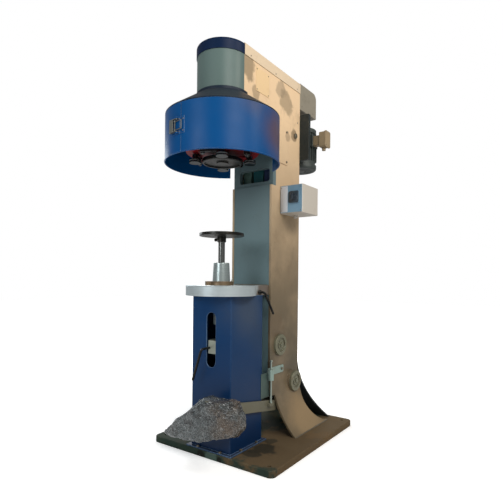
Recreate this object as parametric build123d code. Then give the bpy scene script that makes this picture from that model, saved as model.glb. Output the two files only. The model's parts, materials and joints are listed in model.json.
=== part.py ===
from build123d import *
import os
from math import cos, degrees, radians, sin, sqrt

# Floor-standing can seamer. Millimetres, +Z up. The origin is on the floor,
# under the spindle axis. The operator stands at -Y, the column is at +Y.

# Base plate
base_width = 744
base_depth = 880
base_front = -95
base_thickness = 32
base_corner_radius = 26
anchor_hole_radius = 9
anchor_inset = 45

# Column and arm, welded from thick plate
plate_thickness = 12
column_width = 260
column_front = 253
column_rear = 550
upper_column_front = 295
step_height = 1369
upper_plate_height = 351
arm_height = 270
front_plate_thickness = 12
front_plate_recess = 2
upper_plate_thickness = 28
rear_plate_thickness = 10
gap = 0.3
slide_gap = 0.06

# Flared foot of the column
foot_flare_start = 370
foot_flare_radius = 520
foot_rear_radius = 170
foot_front = 312
notch_height = 250
notch_depth = 32
rear_flare_start = 573
rear_flare_radius = 800

# Window in the upper front plate
window_width = 198
window_height = 70
window_lift = 23
window_offset = 8
window_corner_radius = 14

# Covers of the head and the arm
cover_sheet = 3
cover_height = 56
cover_rise = 16
cap_edge_radius = 14

# Seaming head
floor_plate_thickness = 15
housing_radius = 62
housing_drop = 62
bearing_radius = 45
bearing_width = 24
bearing_lift = 2
upper_bearing_drop = 28
spindle_radius = 30
spindle_bore = 19
spindle_tail = 4
spindle_drop = 13
spindle_flange_radius = 48
chuck_shaft_radius = 18
chuck_radius = 100
chuck_thickness = 20
chuck_drop = 282
chuck_hub_radius = 34
bridge_drop = 55
bridge_thickness = 16
bridge_width = 90
carrier_radius = 182
carrier_drop = 230
carrier_thickness = 22
cam_radius = 60
cam_lift = 6
cam_clearance = 14
cam_thickness = 20
cam_sleeve_radius = 42
cam_sleeve_height = 56

# Roll levers on the carrier
lever_count = 4
lever_pivot_circle = 150
lever_pin_radius = 12
roll_circle = 136
roll_lead_angle = 38
roll_radius = 30
roll_thickness = 20
roll_axle_radius = 8
follower_lag_angle = 45
follower_radius = 14
follower_gap = 0.8
lever_width = 28
lower_arm_clearance = 8
lower_arm_thickness = 20
upper_arm_thickness = 18

# Belt drive
driven_pulley_radius = 110
motor_pulley_radius = 35
pulley_clearance = 18
pulley_height = 36
belt_depth = 9
belt_height = 12
motor_x = 60
motor_offset = 130
motor_radius = 92
fin_radius = 103
fin_count = 28
motor_length = 228
motor_drop = 70
motor_foot_inset = 50
fan_cover_depth = 30
motor_shaft_radius = 14
motor_plate_thickness = 20
motor_plate_width = 260
motor_plate_height = 265
motor_plate_drop = 35
terminal_box_width = 60
terminal_box_height = 90
terminal_box_depth = 36
terminal_box_neck = 42
terminal_lid_thickness = 8
belt_guard_lift = 1
belt_guard_rise = 6
belt_guard_depth = 205
belt_guard_corner = 38

# Round guard of the head
guard_radius = 283
guard_sheet = 3
guard_drop = 289
guard_height = 226
guard_bead = 3
cone_gap = 2
cone_rise = 42
cone_collar = 12
seam_angle = -92
seam_gap_angle = 0.25
guard_end_angle = 60
hinge_offset = 9.5
hinge_y = 258
hinge_pin_radius = 3
knuckle_radius = 7
knuckle_lift = 81
knuckle_length = 45
knuckle_gap = 0.5
leaf_rear = 418
leaf_lift = 69
leaf_height = 206
leaf_thickness = 4

# Draw latch across the guard's seam, laid out along the guard at its own angle
latch_angle = -97
latch_lift = 122
latch_height = 60
latch_sheet = 2.5
latch_pivot_x = 4
latch_pivot_offset = 7
latch_tail = -44
latch_nose = 10
latch_end_radius = 4.6
latch_pin_radius = 2.5
cheek_height = 7
loop_pivot_offset = 14
loop_length = 44
loop_half_height = 19
loop_wire_radius = 2
keeper_height = 30

# Lower pedestal under the table
pedestal_width = 246
pedestal_front = -74
pedestal_rear = 190
pedestal_sheet = 5
pedestal_flange = 18
pedestal_flange_thickness = 6
slot_width = 57
slot_bottom = 435
slot_top = 702

# Table, sleeve and lifter
table_radius = 175
table_bottom = 783
table_thickness = 50
neck_width = 234
clamp_slit = 6
clamp_slit_y = 90
clamp_slit_depth = 120
sleeve_top_radius = 39
sleeve_foot_radius = 45
sleeve_top = 945
sleeve_bottom = 640
lock_ring_radius = 60
lock_ring_height = 20
shaft_radius = 16.4
shaft_bottom = 470
lifter_disc_radius = 111
lifter_disc_top = 1092
lifter_disc_thickness = 15
lifter_hub_radius = 22
lifter_hub_height = 30
collar_bottom = 500
collar_height = 65
clamp_rod_radius = 6
collar_handle_x = -15
collar_handle_reach = 52
collar_handle_length = 161
collar_handle_lean = 19.5
table_handle_y = 165
table_handle_z = 798
table_handle_reach = 34
table_handle_length = 139
table_handle_lean = 36

# Pedal and lifting linkage
upper_pivot_y = 345
upper_pivot_z = 509
lower_pivot_y = 480
lower_pivot_z = 291
pivot_shaft_radius = 20
pivot_cap_radius = 57
pivot_cap_thickness = 14
pivot_seat_lift = 1
pivot_hub_radius = 32
link_y = 412.5
link_pin_radius = 8
link_thickness = 12
open_pivot_gap = 0.6
bar_x = 126
bar_thickness = 12
bar_height = 54
bar_rear_y = 420
bar_rear_z = 169
bar_front_y = -184
bar_slope = 0.174
tread_left = 62
tread_width = 143
tread_front_y = -196
tread_depth = 92
tread_thickness = 9
tread_rib_height = 1
cross_tube_radius = 22
inner_arm_x = 90
rocker_arm_x = 20
rocker_arm_thickness = 14
rocker_arm_height = 46
fork_slot_drop = 61
fork_slot_height = 108
rear_arm_x = 56
fork_radius = 15
return_rod_x = 146
return_rod_y = 240
return_rod_radius = 5
return_rod_bottom = 216
return_rod_top = 432
rod_guide_radius = 15
rod_guide_bottom = 335
rod_guide_top = 390
guide_tab_thickness = 4
guide_tab_rear = 385
guide_tab_bottom = 356
guide_tab_top = 396
wrap_front = -218
wrap_rear = -98
wrap_overhang = 267
wrap_drop = 176
wrap_width = 467
wrap_height = 232

# Electric starter on the column's side
switch_front = 342
switch_depth = 178
switch_reach = 138
switch_drop = 146
switch_height = 150
switch_panel_thickness = 3
switch_corner = 4
bezel_inset = 87
bezel_lift = 83
bezel_size = 66
knob_radius = 14
knob_length = 16

# Blank data plate on the arm
plate_y = 98
plate_length = 121
plate_lift = 91
plate_height = 119
plate_sheet = 1.5

# Worked out from the sizes above
arm_floor_height = step_height + upper_plate_height
arm_top = arm_floor_height + arm_height
cover_top = arm_top + cover_rise
window_bottom = step_height + window_lift
bridge_bottom = arm_top - bridge_drop
spindle_top = bridge_bottom - spindle_drop
housing_top = spindle_top - housing_drop
lower_bearing_bottom = arm_floor_height + floor_plate_thickness + bearing_lift
upper_bearing_bottom = housing_top - upper_bearing_drop
pulley_bottom = housing_top + pulley_clearance
chuck_bottom = arm_floor_height - chuck_drop
carrier_bottom = arm_floor_height - carrier_drop
spindle_bottom = carrier_bottom - spindle_tail
cam_bottom = carrier_bottom + carrier_thickness + cam_clearance
lower_arm_bottom = carrier_bottom - lower_arm_clearance - lower_arm_thickness
motor_y = column_rear + motor_offset
motor_top = housing_top - motor_drop
motor_bottom = motor_top - motor_length
fan_cover_bottom = motor_bottom - fan_cover_depth
motor_plate_top = housing_top - motor_plate_drop
motor_plate_bottom = motor_plate_top - motor_plate_height
belt_guard_bottom = housing_top + belt_guard_lift
belt_guard_top = cover_top + belt_guard_rise
guard_bottom = arm_floor_height - guard_drop
guard_top = guard_bottom + guard_height
cone_top = arm_floor_height + cone_rise
knuckle_bottom = guard_bottom + knuckle_lift
leaf_bottom = guard_bottom + leaf_lift
leaf_top = leaf_bottom + leaf_height
latch_middle_height = guard_bottom + latch_lift
switch_bottom = step_height - switch_drop
bezel_z = switch_bottom + bezel_lift
plate_z = arm_floor_height + plate_lift
half_column = column_width / 2
hinge_x = half_column + hinge_offset
bezel_x = half_column + bezel_inset
inside_half = half_column - plate_thickness
foot_arc_x = half_column + foot_flare_radius
rear_arc_y = column_rear + rear_flare_radius
chuck_top = chuck_bottom + chuck_thickness
carrier_top = carrier_bottom + carrier_thickness
follower_circle = cam_radius + follower_radius + follower_gap
table_top = table_bottom + table_thickness
upper_plate_face = upper_column_front - upper_plate_thickness
half_pedestal = pedestal_width / 2
pulley_middle = pulley_bottom + pulley_height / 2
motor_plate_back = column_rear + motor_plate_thickness
bar_front_z = bar_rear_z + bar_slope * (bar_rear_y - bar_front_y)


def block(x0, x1, y0, y1, z0, z1):
    """Box between two corners."""
    place = Pos((x0 + x1) / 2, (y0 + y1) / 2, (z0 + z1) / 2)
    return place * Box(x1 - x0, y1 - y0, z1 - z0)


def post(radius, z0, z1, x=0, y=0):
    """Upright round bar."""
    return Pos(x, y, (z0 + z1) / 2) * Cylinder(radius, z1 - z0)


def pin_x(radius, x0, x1, y, z):
    """Round bar along X."""
    return Pos((x0 + x1) / 2, y, z) * Rot(0, 90, 0) * Cylinder(radius, x1 - x0)


def pin_y(radius, y0, y1, x, z):
    """Round bar along Y."""
    return Pos(x, (y0 + y1) / 2, z) * Rot(90, 0, 0) * Cylinder(radius, y1 - y0)


def pipe(outer, inner, z0, z1, x=0, y=0):
    """Upright tube."""
    return post(outer, z0, z1, x, y) - post(inner, z0 - 1, z1 + 1, x, y)


def side_profile(points, x0, x1):
    """Outline in (Y, Z) pushed from x0 to x1."""
    face = Plane.YZ.offset(x0) * make_face(Polyline(*points, close=True))
    return extrude(face, x1 - x0)


def front_profile(points, y0, y1):
    """Outline in (X, Z) pushed from y0 to y1."""
    face = Plane.XZ.offset(-y1) * make_face(Polyline(*points, close=True))
    return extrude(face, y1 - y0)


def polar(radius, angle):
    """Point in plan at a radius and an angle in degrees."""
    return radius * cos(radians(angle)), radius * sin(radians(angle))


def hex_bolt(radius, height):
    """Hexagon head with its base at the origin, pointing along +Z."""
    head = extrude(RegularPolygon(radius, 6), height)
    return head & Cone(radius * 1.32, radius * 0.92, height, align=(Align.CENTER, Align.CENTER, Align.MIN))


def link_plate(start, end, width, x0, x1, end_radius=None):
    """Flat bar with round ends between two points in (Y, Z)."""
    end_radius = end_radius or width / 2
    first = pin_x(width / 2, x0, x1, *start)
    last = pin_x(end_radius, x0, x1, *end)
    length = sqrt((end[0] - start[0]) ** 2 + (end[1] - start[1]) ** 2)
    side = Vector(-(end[1] - start[1]) / length, (end[0] - start[0]) / length)
    corners = []
    for point, reach in ((start, width / 2), (end, end_radius)):
        corners.append((point[0] + side.X * reach, point[1] + side.Y * reach))
        corners.append((point[0] - side.X * reach, point[1] - side.Y * reach))
    web = side_profile([corners[0], corners[2], corners[3], corners[1]], x0, x1)
    return first + web + last


def plan_link(start, end, width, z0, z1):
    """Flat bar with round ends between two points in plan."""
    ends = [*(Pos(*start) * Circle(width / 2)).edges(), *(Pos(*end) * Circle(width / 2)).edges()]
    return Pos(0, 0, z0) * extrude(make_hull(ends), z1 - z0)


def base_plate():
    """Floor plate with four anchor holes."""
    middle = base_front + base_depth / 2
    outline = Pos(0, middle) * RectangleRounded(base_width, base_depth, base_corner_radius)
    plate = extrude(outline, base_thickness)
    plate = chamfer(plate.faces().sort_by(Axis.Z)[-1].outer_wire().edges(), 3)
    for x in (-1, 1):
        for y in (base_front + anchor_inset, base_front + base_depth - anchor_inset):
            plate -= post(anchor_hole_radius, -1, base_thickness + 1, x * (base_width / 2 - anchor_inset), y)
    return plate


def foot_wall(side, y0, y1):
    """Side wall of the column: straight above, curving outwards at the foot."""
    sides = sorted((side * inside_half, side * half_column))
    straight = block(*sides, y0, y1, foot_flare_start, arm_top)
    ring = Circle(foot_flare_radius + plate_thickness) - Circle(foot_flare_radius)
    ring = Plane.XZ.offset(-y1) * (Pos(side * foot_arc_x, foot_flare_start) * Rot(0, 0, 90) * ring)
    reach = sorted((0, side * foot_arc_x))
    return straight + (extrude(ring, y1 - y0) & block(*reach, y0, y1, base_thickness, foot_flare_start))


def side_plate(side):
    """Side plate: arm, column and flared foot in one, bored for the pivot shafts."""
    outline = [
        (0, arm_floor_height),
        (0, arm_top),
        (column_rear, arm_top),
        (column_rear, base_thickness),
        (foot_front, base_thickness),
        (column_front + notch_depth, notch_height),
        (column_front, notch_height),
        (column_front, step_height),
        (upper_column_front, step_height),
        (upper_column_front, arm_floor_height),
    ]
    reach = foot_arc_x
    body = side_profile(outline, -reach, reach)
    heel_top = base_thickness + foot_rear_radius
    heel = block(-reach, reach, column_rear, column_rear + foot_rear_radius - 18, base_thickness, heel_top)
    heel -= pin_x(foot_rear_radius, -reach - 1, reach + 1, column_rear + foot_rear_radius, heel_top)
    plate = foot_wall(side, -1, column_rear + foot_rear_radius) & (body + heel)
    seat = sorted((side * (half_column - plate_thickness / 2), side * cap_seat_x(lower_pivot_z)))
    plate += pin_x(pivot_cap_radius, *seat, lower_pivot_y, lower_pivot_z)
    plate -= pin_x(pivot_shaft_radius + slide_gap, -reach, reach, lower_pivot_y, lower_pivot_z)
    return plate - pin_x(pivot_shaft_radius + slide_gap, -reach, reach, upper_pivot_y, upper_pivot_z)


def inside_of_column(y0, y1, clearance=0.0):
    """Space between the two side walls, which widens at the foot."""
    upper = block(-inside_half + clearance, inside_half - clearance, y0, y1, foot_flare_start, arm_top)
    foot = block(-foot_arc_x, foot_arc_x, y0, y1, 0, foot_flare_start)
    for side in (-1, 1):
        disc = Rot(0, 0, 90) * Circle(foot_flare_radius + plate_thickness + clearance)
        disc = Plane.XZ.offset(-y1) * (Pos(side * foot_arc_x, foot_flare_start) * disc)
        foot -= extrude(disc, y1 - y0)
    return upper + foot


def lower_front_plate():
    """Front plate of the column, with a slot for the lifting fork."""
    face = column_front + front_plate_recess
    plate = block(-inside_half, inside_half, face, face + front_plate_thickness, notch_height, step_height)
    for side in (-1, 1):
        plate -= fork_slot(side, face - 1, face + front_plate_thickness + 1)
    return plate & inside_of_column(face - 1, face + front_plate_thickness + 1)


def fork_slot(side, y0, y1):
    """Upright slot that one arm of the lifting fork moves in."""
    middle = side * (rocker_arm_x + rocker_arm_thickness / 2)
    half = rocker_arm_thickness / 2 + 4
    low = upper_pivot_z - fork_slot_drop
    return block(middle - half, middle + half, y0, y1, low, low + fork_slot_height)


def upper_front_plate():
    """Thick plate behind the head, with a round-cornered window."""
    plate = block(-half_column, half_column, upper_plate_face, upper_column_front, step_height, arm_floor_height)
    hole = RectangleRounded(window_width, window_height, window_corner_radius)
    middle = window_bottom + window_height / 2
    cut = Plane.XZ.offset(-upper_column_front - 1) * (Pos(window_offset, middle) * hole)
    plate -= extrude(cut, upper_plate_thickness + 2)
    return plate


def rear_plate():
    """Back of the column, sweeping out to the rear at the foot."""
    front = column_rear - rear_plate_thickness
    upper = block(-inside_half, inside_half, front, column_rear, rear_flare_start, housing_top)
    ring = Circle(rear_flare_radius + rear_plate_thickness) - Circle(rear_flare_radius)
    sweep_face = Plane.YZ.offset(-foot_arc_x) * (Pos(rear_arc_y, rear_flare_start) * ring)
    curve = extrude(sweep_face, 2 * foot_arc_x)
    curve &= block(-foot_arc_x, foot_arc_x, front, rear_arc_y, base_thickness, rear_flare_start)
    curve &= inside_of_column(front, rear_arc_y, gap)
    return upper + curve


def head_casing():
    """Half-round nose of the arm."""
    shell = pipe(half_column, inside_half, arm_floor_height, arm_top)
    return shell & block(-half_column, half_column, -half_column, 0, arm_floor_height, arm_top)


def head_cap():
    """Half-round cover over the nose, with a rounded top edge."""
    outer = half_column + gap + cover_sheet
    shell = fillet(post(outer, cover_top - cover_height, cover_top).faces().sort_by(Axis.Z)[-1].edges(), cap_edge_radius)
    shell -= post(half_column + gap, cover_top - cover_height - 1, cover_top - cap_edge_radius)
    inner = post(outer - cover_sheet, cover_top - cover_height, cover_top - cover_sheet)
    shell -= fillet(inner.faces().sort_by(Axis.Z)[-1].edges(), cap_edge_radius - cover_sheet)
    return shell & block(-outer, outer, -outer, -gap, 0, cover_top)


def arm_lid():
    """Folded lid over the arm, with side skirts."""
    outer = half_column + gap + cover_sheet
    lid = block(-outer, outer, 0, column_rear, cover_top - cover_height, cover_top)
    lid = fillet(lid.edges().filter_by(Axis.Y).sort_by(Axis.Z)[-2:], cover_sheet)
    lid -= block(-half_column - gap, half_column + gap, -1, column_rear + 1, 0, cover_top - cover_sheet)
    return lid


def bearing_housing():
    """Floor of the arm with the housing that holds the spindle bearings."""
    top = arm_floor_height + floor_plate_thickness
    plate = post(inside_half - gap, arm_floor_height, top)
    plate += block(-inside_half, inside_half, 0, upper_column_front, arm_floor_height, top)
    housing = plate + post(housing_radius, top, housing_top)
    for angle in range(0, 360, 90):
        rib = block(housing_radius - 4, inside_half - 12, -5, 5, top, top + 60)
        rib -= Pos(inside_half - 12, 0, top + 60) * Rot(90, 0, 0) * Cylinder(50, 12)
        housing += Rot(0, 0, angle) * rib
    housing -= post(bearing_radius, lower_bearing_bottom, housing_top + 1)
    return housing - post(bearing_radius - 7, arm_floor_height - 1, housing_top + 1)


def spindle_bearings():
    """Two bearings, as rings that fill the housing."""
    rings = []
    for bottom in (lower_bearing_bottom, upper_bearing_bottom):
        rings.append(pipe(bearing_radius, spindle_radius + slide_gap, bottom, bottom + bearing_width))
    return rings


def head_spindle():
    """Hollow spindle with the flange that carries the roll carrier."""
    bar = post(spindle_radius, spindle_bottom, spindle_top)
    bar += post(spindle_flange_radius, carrier_top, cam_bottom - gap)
    return bar - post(spindle_bore, spindle_bottom - 1, spindle_top + 1)


def grooved_pulley(radius, bore, x, y):
    """Belt pulley with one V groove and a recessed web."""
    half = pulley_height / 2
    depth = belt_depth + 1.5
    outline = [
        (bore, -half),
        (radius, -half),
        (radius, -belt_height / 2 - 2),
        (radius - depth, -belt_height / 2 - 0.5),
        (radius - depth, belt_height / 2 + 0.5),
        (radius, belt_height / 2 + 2),
        (radius, half),
        (bore, half),
    ]
    face = Plane.XZ * make_face(Polyline(*outline, close=True))
    return Pos(x, y, pulley_middle) * revolve(face, Axis.Z)


def driven_pulley():
    """Large pulley on the spindle, lightened by six holes."""
    wheel = grooved_pulley(driven_pulley_radius, spindle_radius, 0, 0)
    recess = pipe(driven_pulley_radius - 18, spindle_radius + 18, pulley_bottom + 24, pulley_bottom + pulley_height)
    wheel -= recess
    for index in range(6):
        x, y = polar((driven_pulley_radius + spindle_radius) / 2, 60 * index)
        wheel -= post(13, pulley_bottom - 1, pulley_bottom + pulley_height, x, y)
    return wheel


def v_belt():
    """Belt loop round both pulleys."""
    loops = []
    for inset in (1, belt_depth + 1):
        big = Circle(driven_pulley_radius - inset).edges()
        small = (Pos(motor_x, motor_y) * Circle(motor_pulley_radius - inset)).edges()
        loops.append(make_hull([*big, *small]))
    ring = extrude(loops[0] - loops[1], belt_height)
    return Pos(0, 0, pulley_middle - belt_height / 2) * ring


def motor_pulley():
    """Motor shaft and its small pulley, two solids."""
    shaft = post(motor_shaft_radius, motor_top - 60, pulley_bottom + pulley_height + 6, motor_x, motor_y)
    return [shaft, grooved_pulley(motor_pulley_radius, motor_shaft_radius, motor_x, motor_y)]


def chuck_shaft():
    """Fixed shaft through the spindle, hung from a bridge across the arm."""
    hub_top = spindle_bottom - 4
    shaft = post(chuck_shaft_radius, hub_top - 20, bridge_bottom + bridge_thickness)
    bridge = block(-inside_half, inside_half, 0, bridge_width / 2, bridge_bottom, bridge_bottom + bridge_thickness)
    front = block(-inside_half, inside_half, -bridge_width / 2, 0, bridge_bottom, bridge_bottom + bridge_thickness)
    front &= post(inside_half - gap, bridge_bottom, bridge_bottom + bridge_thickness)
    nut = Pos(0, 0, bridge_bottom + bridge_thickness) * hex_bolt(28, 20)
    return shaft + bridge + front + nut


def chuck():
    """Seaming chuck: rim, dished face and hub on the fixed shaft."""
    rim = post(chuck_radius, chuck_bottom, chuck_top)
    rim = chamfer(rim.faces().sort_by(Axis.Z)[0].edges(), 3)
    rim -= pipe(chuck_radius - 9, 30, chuck_bottom - 1, chuck_bottom + 7)
    hub = post(chuck_hub_radius, chuck_top, spindle_bottom - 4)
    body = rim + hub
    return body - post(chuck_shaft_radius, spindle_bottom - 24, spindle_bottom)


def roll_carrier():
    """Round carrier with lever bearings, relief holes and a raised rim."""
    disc = post(carrier_radius, carrier_bottom, carrier_top)
    disc = fillet(disc.edges().filter_by(GeomType.CIRCLE), 3)
    disc -= pipe(carrier_radius - 14, spindle_flange_radius + 12, carrier_top - 5, carrier_top + 1)
    for index in range(lever_count):
        angle = index * 360 / lever_count
        disc += post(24, carrier_bottom, carrier_top, *polar(lever_pivot_circle, angle))
        disc -= post(lever_pin_radius + slide_gap, 0, arm_top, *polar(lever_pivot_circle, angle))
        disc -= post(17, 0, arm_top, *polar(112, angle + 62))
    return disc - post(spindle_radius, carrier_bottom - 1, carrier_top + 1)


def cam_outline():
    """Cam with two lobes, wide where one pair of levers has closed."""
    points = []
    for step in range(24):
        angle = step * 360 / 24
        points.append(polar(cam_radius - cam_lift * cos(radians(2 * angle)), angle))
    return make_face(Spline(*points, periodic=True))


def cam_disc():
    """Cam disc and its sleeve, free to turn on the spindle."""
    disc = Pos(0, 0, cam_bottom) * extrude(cam_outline(), cam_thickness)
    disc += post(cam_sleeve_radius, cam_bottom, cam_bottom + cam_thickness + cam_sleeve_height)
    return disc - post(spindle_radius + slide_gap, cam_bottom - 1, arm_top)


def roll_lever(angle):
    """Bell crank: upper arm with its cam nose, pin, and lower arm for the roll."""
    pivot = polar(lever_pivot_circle, angle)
    roll = polar(roll_circle, angle + roll_lead_angle)
    nose = polar(follower_circle, angle - follower_lag_angle)
    lever = post(lever_pin_radius, lower_arm_bottom, cam_bottom + upper_arm_thickness, *pivot)
    lever += plan_link(pivot, roll, lever_width, lower_arm_bottom, lower_arm_bottom + lower_arm_thickness)
    lever += plan_link(pivot, nose, 2 * follower_radius, cam_bottom, cam_bottom + upper_arm_thickness)
    boss = post(lever_pin_radius + 6, carrier_top + gap, cam_bottom, *pivot)
    return lever + boss - post(roll_axle_radius + slide_gap, 0, arm_top, *roll)


def seam_roll(angle, groove):
    """Seaming roll with its groove, on an axle that runs in the lever."""
    x, y = polar(roll_circle, angle + roll_lead_angle)
    top = lower_arm_bottom - 4
    bottom = top - roll_thickness
    face = [
        (0, bottom),
        (roll_radius - 2, bottom),
        (roll_radius, bottom + 3),
        (roll_radius, bottom + 7),
        (roll_radius - groove, bottom + 10),
        (roll_radius, bottom + 14),
        (roll_radius - 1, top),
        (roll_axle_radius + 4, top),
        (roll_axle_radius + 4, lower_arm_bottom - gap),
        (roll_axle_radius, lower_arm_bottom - gap),
        (roll_axle_radius, lower_arm_bottom + lower_arm_thickness + 3),
        (0, lower_arm_bottom + lower_arm_thickness + 3),
    ]
    outline = Plane.XZ * make_face(Polyline(*face, close=True))
    return Pos(x, y, 0) * revolve(outline, Axis.Z)


def motor_plate():
    """Plate on the back of the column that the motor is bolted to."""
    left = motor_x - motor_plate_width / 2
    plate = block(left, left + motor_plate_width, column_rear, motor_plate_back, motor_plate_bottom, motor_plate_top)
    return fillet(plate.edges().filter_by(Axis.Y), 6)


def motor_body():
    """Finned motor housing with end shields and a foot."""
    body = post(motor_radius, motor_bottom, motor_top - 14, motor_x, motor_y)
    fin = block(motor_radius - 2, fin_radius, -1.6, 1.6, motor_bottom + 24, motor_top - 40)
    for index in range(fin_count):
        body += Pos(motor_x, motor_y, 0) * (Rot(0, 0, index * 360 / fin_count) * fin)
    shield = post(fin_radius - 4, motor_top - 38, motor_top - 14, motor_x, motor_y)
    nose = Pos(motor_x, motor_y, motor_top - 7) * Cone(fin_radius - 14, 46, 14)
    foot = block(motor_x - 78, motor_x + 78, motor_plate_back, motor_y - motor_radius + 14,
                 motor_bottom + motor_foot_inset, motor_top - motor_foot_inset)
    seat = block(motor_x + motor_radius - 8, motor_x + fin_radius, motor_y - 34, motor_y + 34,
                 terminal_middle() - 36, terminal_middle() + 36)
    body += shield + nose + foot + seat
    return body - post(motor_shaft_radius + 1, motor_top - 62, motor_top + 1, motor_x, motor_y)


def fan_cover():
    """Domed fan cover under the motor, with ring slots for air."""
    cover = post(fin_radius - 2, fan_cover_bottom, motor_bottom, motor_x, motor_y)
    cover = fillet(cover.faces().sort_by(Axis.Z)[0].edges(), 14)
    for radius in (34, 50, 66):
        slot = pipe(radius + 5, radius, fan_cover_bottom - 1, fan_cover_bottom + 6, motor_x, motor_y)
        cover -= slot - block(motor_x - 6, motor_x + 6, motor_y - 90, motor_y + 90, fan_cover_bottom - 9, motor_bottom)
    return cover


def terminal_middle():
    """Height of the terminal box's middle."""
    return motor_top - motor_length * 0.4


def terminal_box():
    """Terminal box on the motor's side, with its neck and cable gland."""
    x0 = motor_x + fin_radius + terminal_box_neck
    x1 = x0 + terminal_box_depth
    middle = terminal_middle()
    half = terminal_box_width / 2
    tall = terminal_box_height / 2
    box = block(x0, x1, motor_y - half, motor_y + half, middle - tall, middle + tall)
    box = fillet(box.edges().filter_by(Axis.X), 8)
    half += 3
    tall += 3
    lid = block(x1, x1 + terminal_lid_thickness, motor_y - half, motor_y + half, middle - tall, middle + tall)
    neck = block(motor_x + fin_radius, x0, motor_y - 22, motor_y + 22, middle - 28, middle + 28)
    gland = post(11, middle - tall - 15, middle - tall + 4, (x0 + x1) / 2, motor_y)
    return box + fillet(lid.edges().filter_by(Axis.X), 10) + neck + gland


def belt_guard():
    """Sheet cover over the motor's pulley behind the arm."""
    y0 = column_rear + gap
    y1 = column_rear + belt_guard_depth
    outer = block(-half_column, half_column, y0, y1, belt_guard_bottom, belt_guard_top)
    outer = fillet(outer.edges().filter_by(Axis.X).sort_by(Axis.Y)[-2:].sort_by(Axis.Z)[-1:], belt_guard_corner)
    inner = block(-half_column + cover_sheet, half_column - cover_sheet, y0 - 1, y1 - cover_sheet,
                  belt_guard_bottom + cover_sheet, belt_guard_top - cover_sheet)
    inner = fillet(inner.edges().filter_by(Axis.X).sort_by(Axis.Y)[-2:].sort_by(Axis.Z)[-1:],
                   belt_guard_corner - cover_sheet)
    hole = post(motor_shaft_radius + 12, belt_guard_bottom - 1, belt_guard_bottom + 20, motor_x, motor_y)
    return outer - inner - hole


def guard_wall(first, last):
    """Rolled guard sheet between two angles, with a bead along its lower edge."""
    wall = pipe(guard_radius, guard_radius - guard_sheet, guard_bottom, guard_top)
    bead = pipe(guard_radius + guard_bead, guard_radius - guard_sheet, guard_bottom, guard_bottom + 2 * guard_bead)
    wall += fillet(bead.edges().filter_by(GeomType.CIRCLE).sort_by(SortBy.RADIUS)[-2:], guard_bead * 0.9)
    reach = 2 * guard_radius
    corners = [(0, 0)]
    steps = 6
    for step in range(steps + 1):
        corners.append(polar(reach, first + (last - first) * step / steps))
    sector = Pos(0, 0, guard_bottom - 1) * extrude(make_face(Polyline(*corners, close=True)), 2 * guard_radius)
    return wall & sector


def hinge_knuckles(spans, bore):
    """Barrel pieces of the door hinge."""
    body = None
    for z0, z1 in spans:
        piece = pipe(knuckle_radius, bore, z0, z1, hinge_x, hinge_y) if bore else post(
            knuckle_radius, z0, z1, hinge_x, hinge_y)
        body = piece if body is None else body + piece
    return body


def knuckle_span(index):
    """Heights of one knuckle, counted from below."""
    bottom = knuckle_bottom + index * knuckle_length
    return bottom, bottom + knuckle_length - knuckle_gap


def guard_door():
    """Right half of the guard, with its knuckles and the hook of the latch."""
    wall = guard_wall(seam_angle + seam_gap_angle, guard_end_angle)
    end = polar(guard_radius - guard_sheet / 2, guard_end_angle)
    for index in (0, 2):
        z0, z1 = knuckle_span(index)
        tab = block(end[0] - 3.5, hinge_x + 2, end[1] - 2, hinge_y, z0, z1)
        wall += tab + post(knuckle_radius, z0, z1, hinge_x, hinge_y)
    wall -= post(hinge_pin_radius + slide_gap, guard_bottom, guard_top, hinge_x, hinge_y)
    x = latch_pivot_x - loop_pivot_offset + loop_length - loop_wire_radius - 0.5
    low = latch_middle_height - keeper_height / 2
    hook = block(x - 3, x, -guard_radius - 12, -guard_radius + 1, low, low + keeper_height)
    return wall + at_latch(hook) + latch_base(x - 3.5, x + 14)


def at_latch(shape):
    """Turn a shape made at the front round to the latch."""
    return Rot(0, 0, latch_angle + 90) * shape


def latch_base(x0, x1):
    """Curved sheet on the guard under the latch."""
    half = latch_height / 2 + cheek_height
    bottom = latch_middle_height - half
    sheet = pipe(guard_radius + 2, guard_radius - 1, bottom, bottom + 2 * half)
    return at_latch(sheet & block(x0, x1, -guard_radius - 9, -guard_radius / 2, bottom, bottom + 2 * half))


def latch_cheeks():
    """Two ears with stub pins that the latch lever turns on."""
    y = -guard_radius - latch_pivot_offset
    ears = []
    for side in (-1, 1):
        inner = latch_middle_height + side * (latch_height / 2 + gap)
        outer = latch_middle_height + side * (latch_height / 2 + cheek_height)
        tip = latch_middle_height + side * (latch_height / 2 - 4)
        x = latch_pivot_x
        ears.append(block(x - 7, x + 7, y - 5, -guard_radius + 1, *sorted((inner, outer))))
        ears.append(post(latch_pin_radius, *sorted((tip, outer)), x, y))
    return at_latch(ears[0] + ears[1] + ears[2] + ears[3])


def latch_lever():
    """Folded lever of the draw latch, open where the loop swings."""
    x = latch_pivot_x
    y = -guard_radius - latch_pivot_offset
    half = latch_height / 2 - gap
    low = latch_middle_height - half
    high = latch_middle_height + half
    lever = block(latch_tail, x, y - 8, y + 4, low, high)
    lever = fillet(lever.edges().filter_by(Axis.Z).sort_by(Axis.X)[:1], 4)
    lever += post(latch_end_radius, low, high, x, y)
    lever -= block(latch_tail + latch_sheet, latch_nose + 1, y - 8 + latch_sheet, y + 6, low + 3, high - 3)
    lever -= block(x - loop_pivot_offset - 5, latch_nose + 1, y - 9, y + 6, low + 3, high - 3)
    lever -= post(latch_pin_radius + slide_gap, low - 1, high + 1, x, y)
    return at_latch(lever + post(2, low + 1, high - 1, x - loop_pivot_offset, y))


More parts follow.
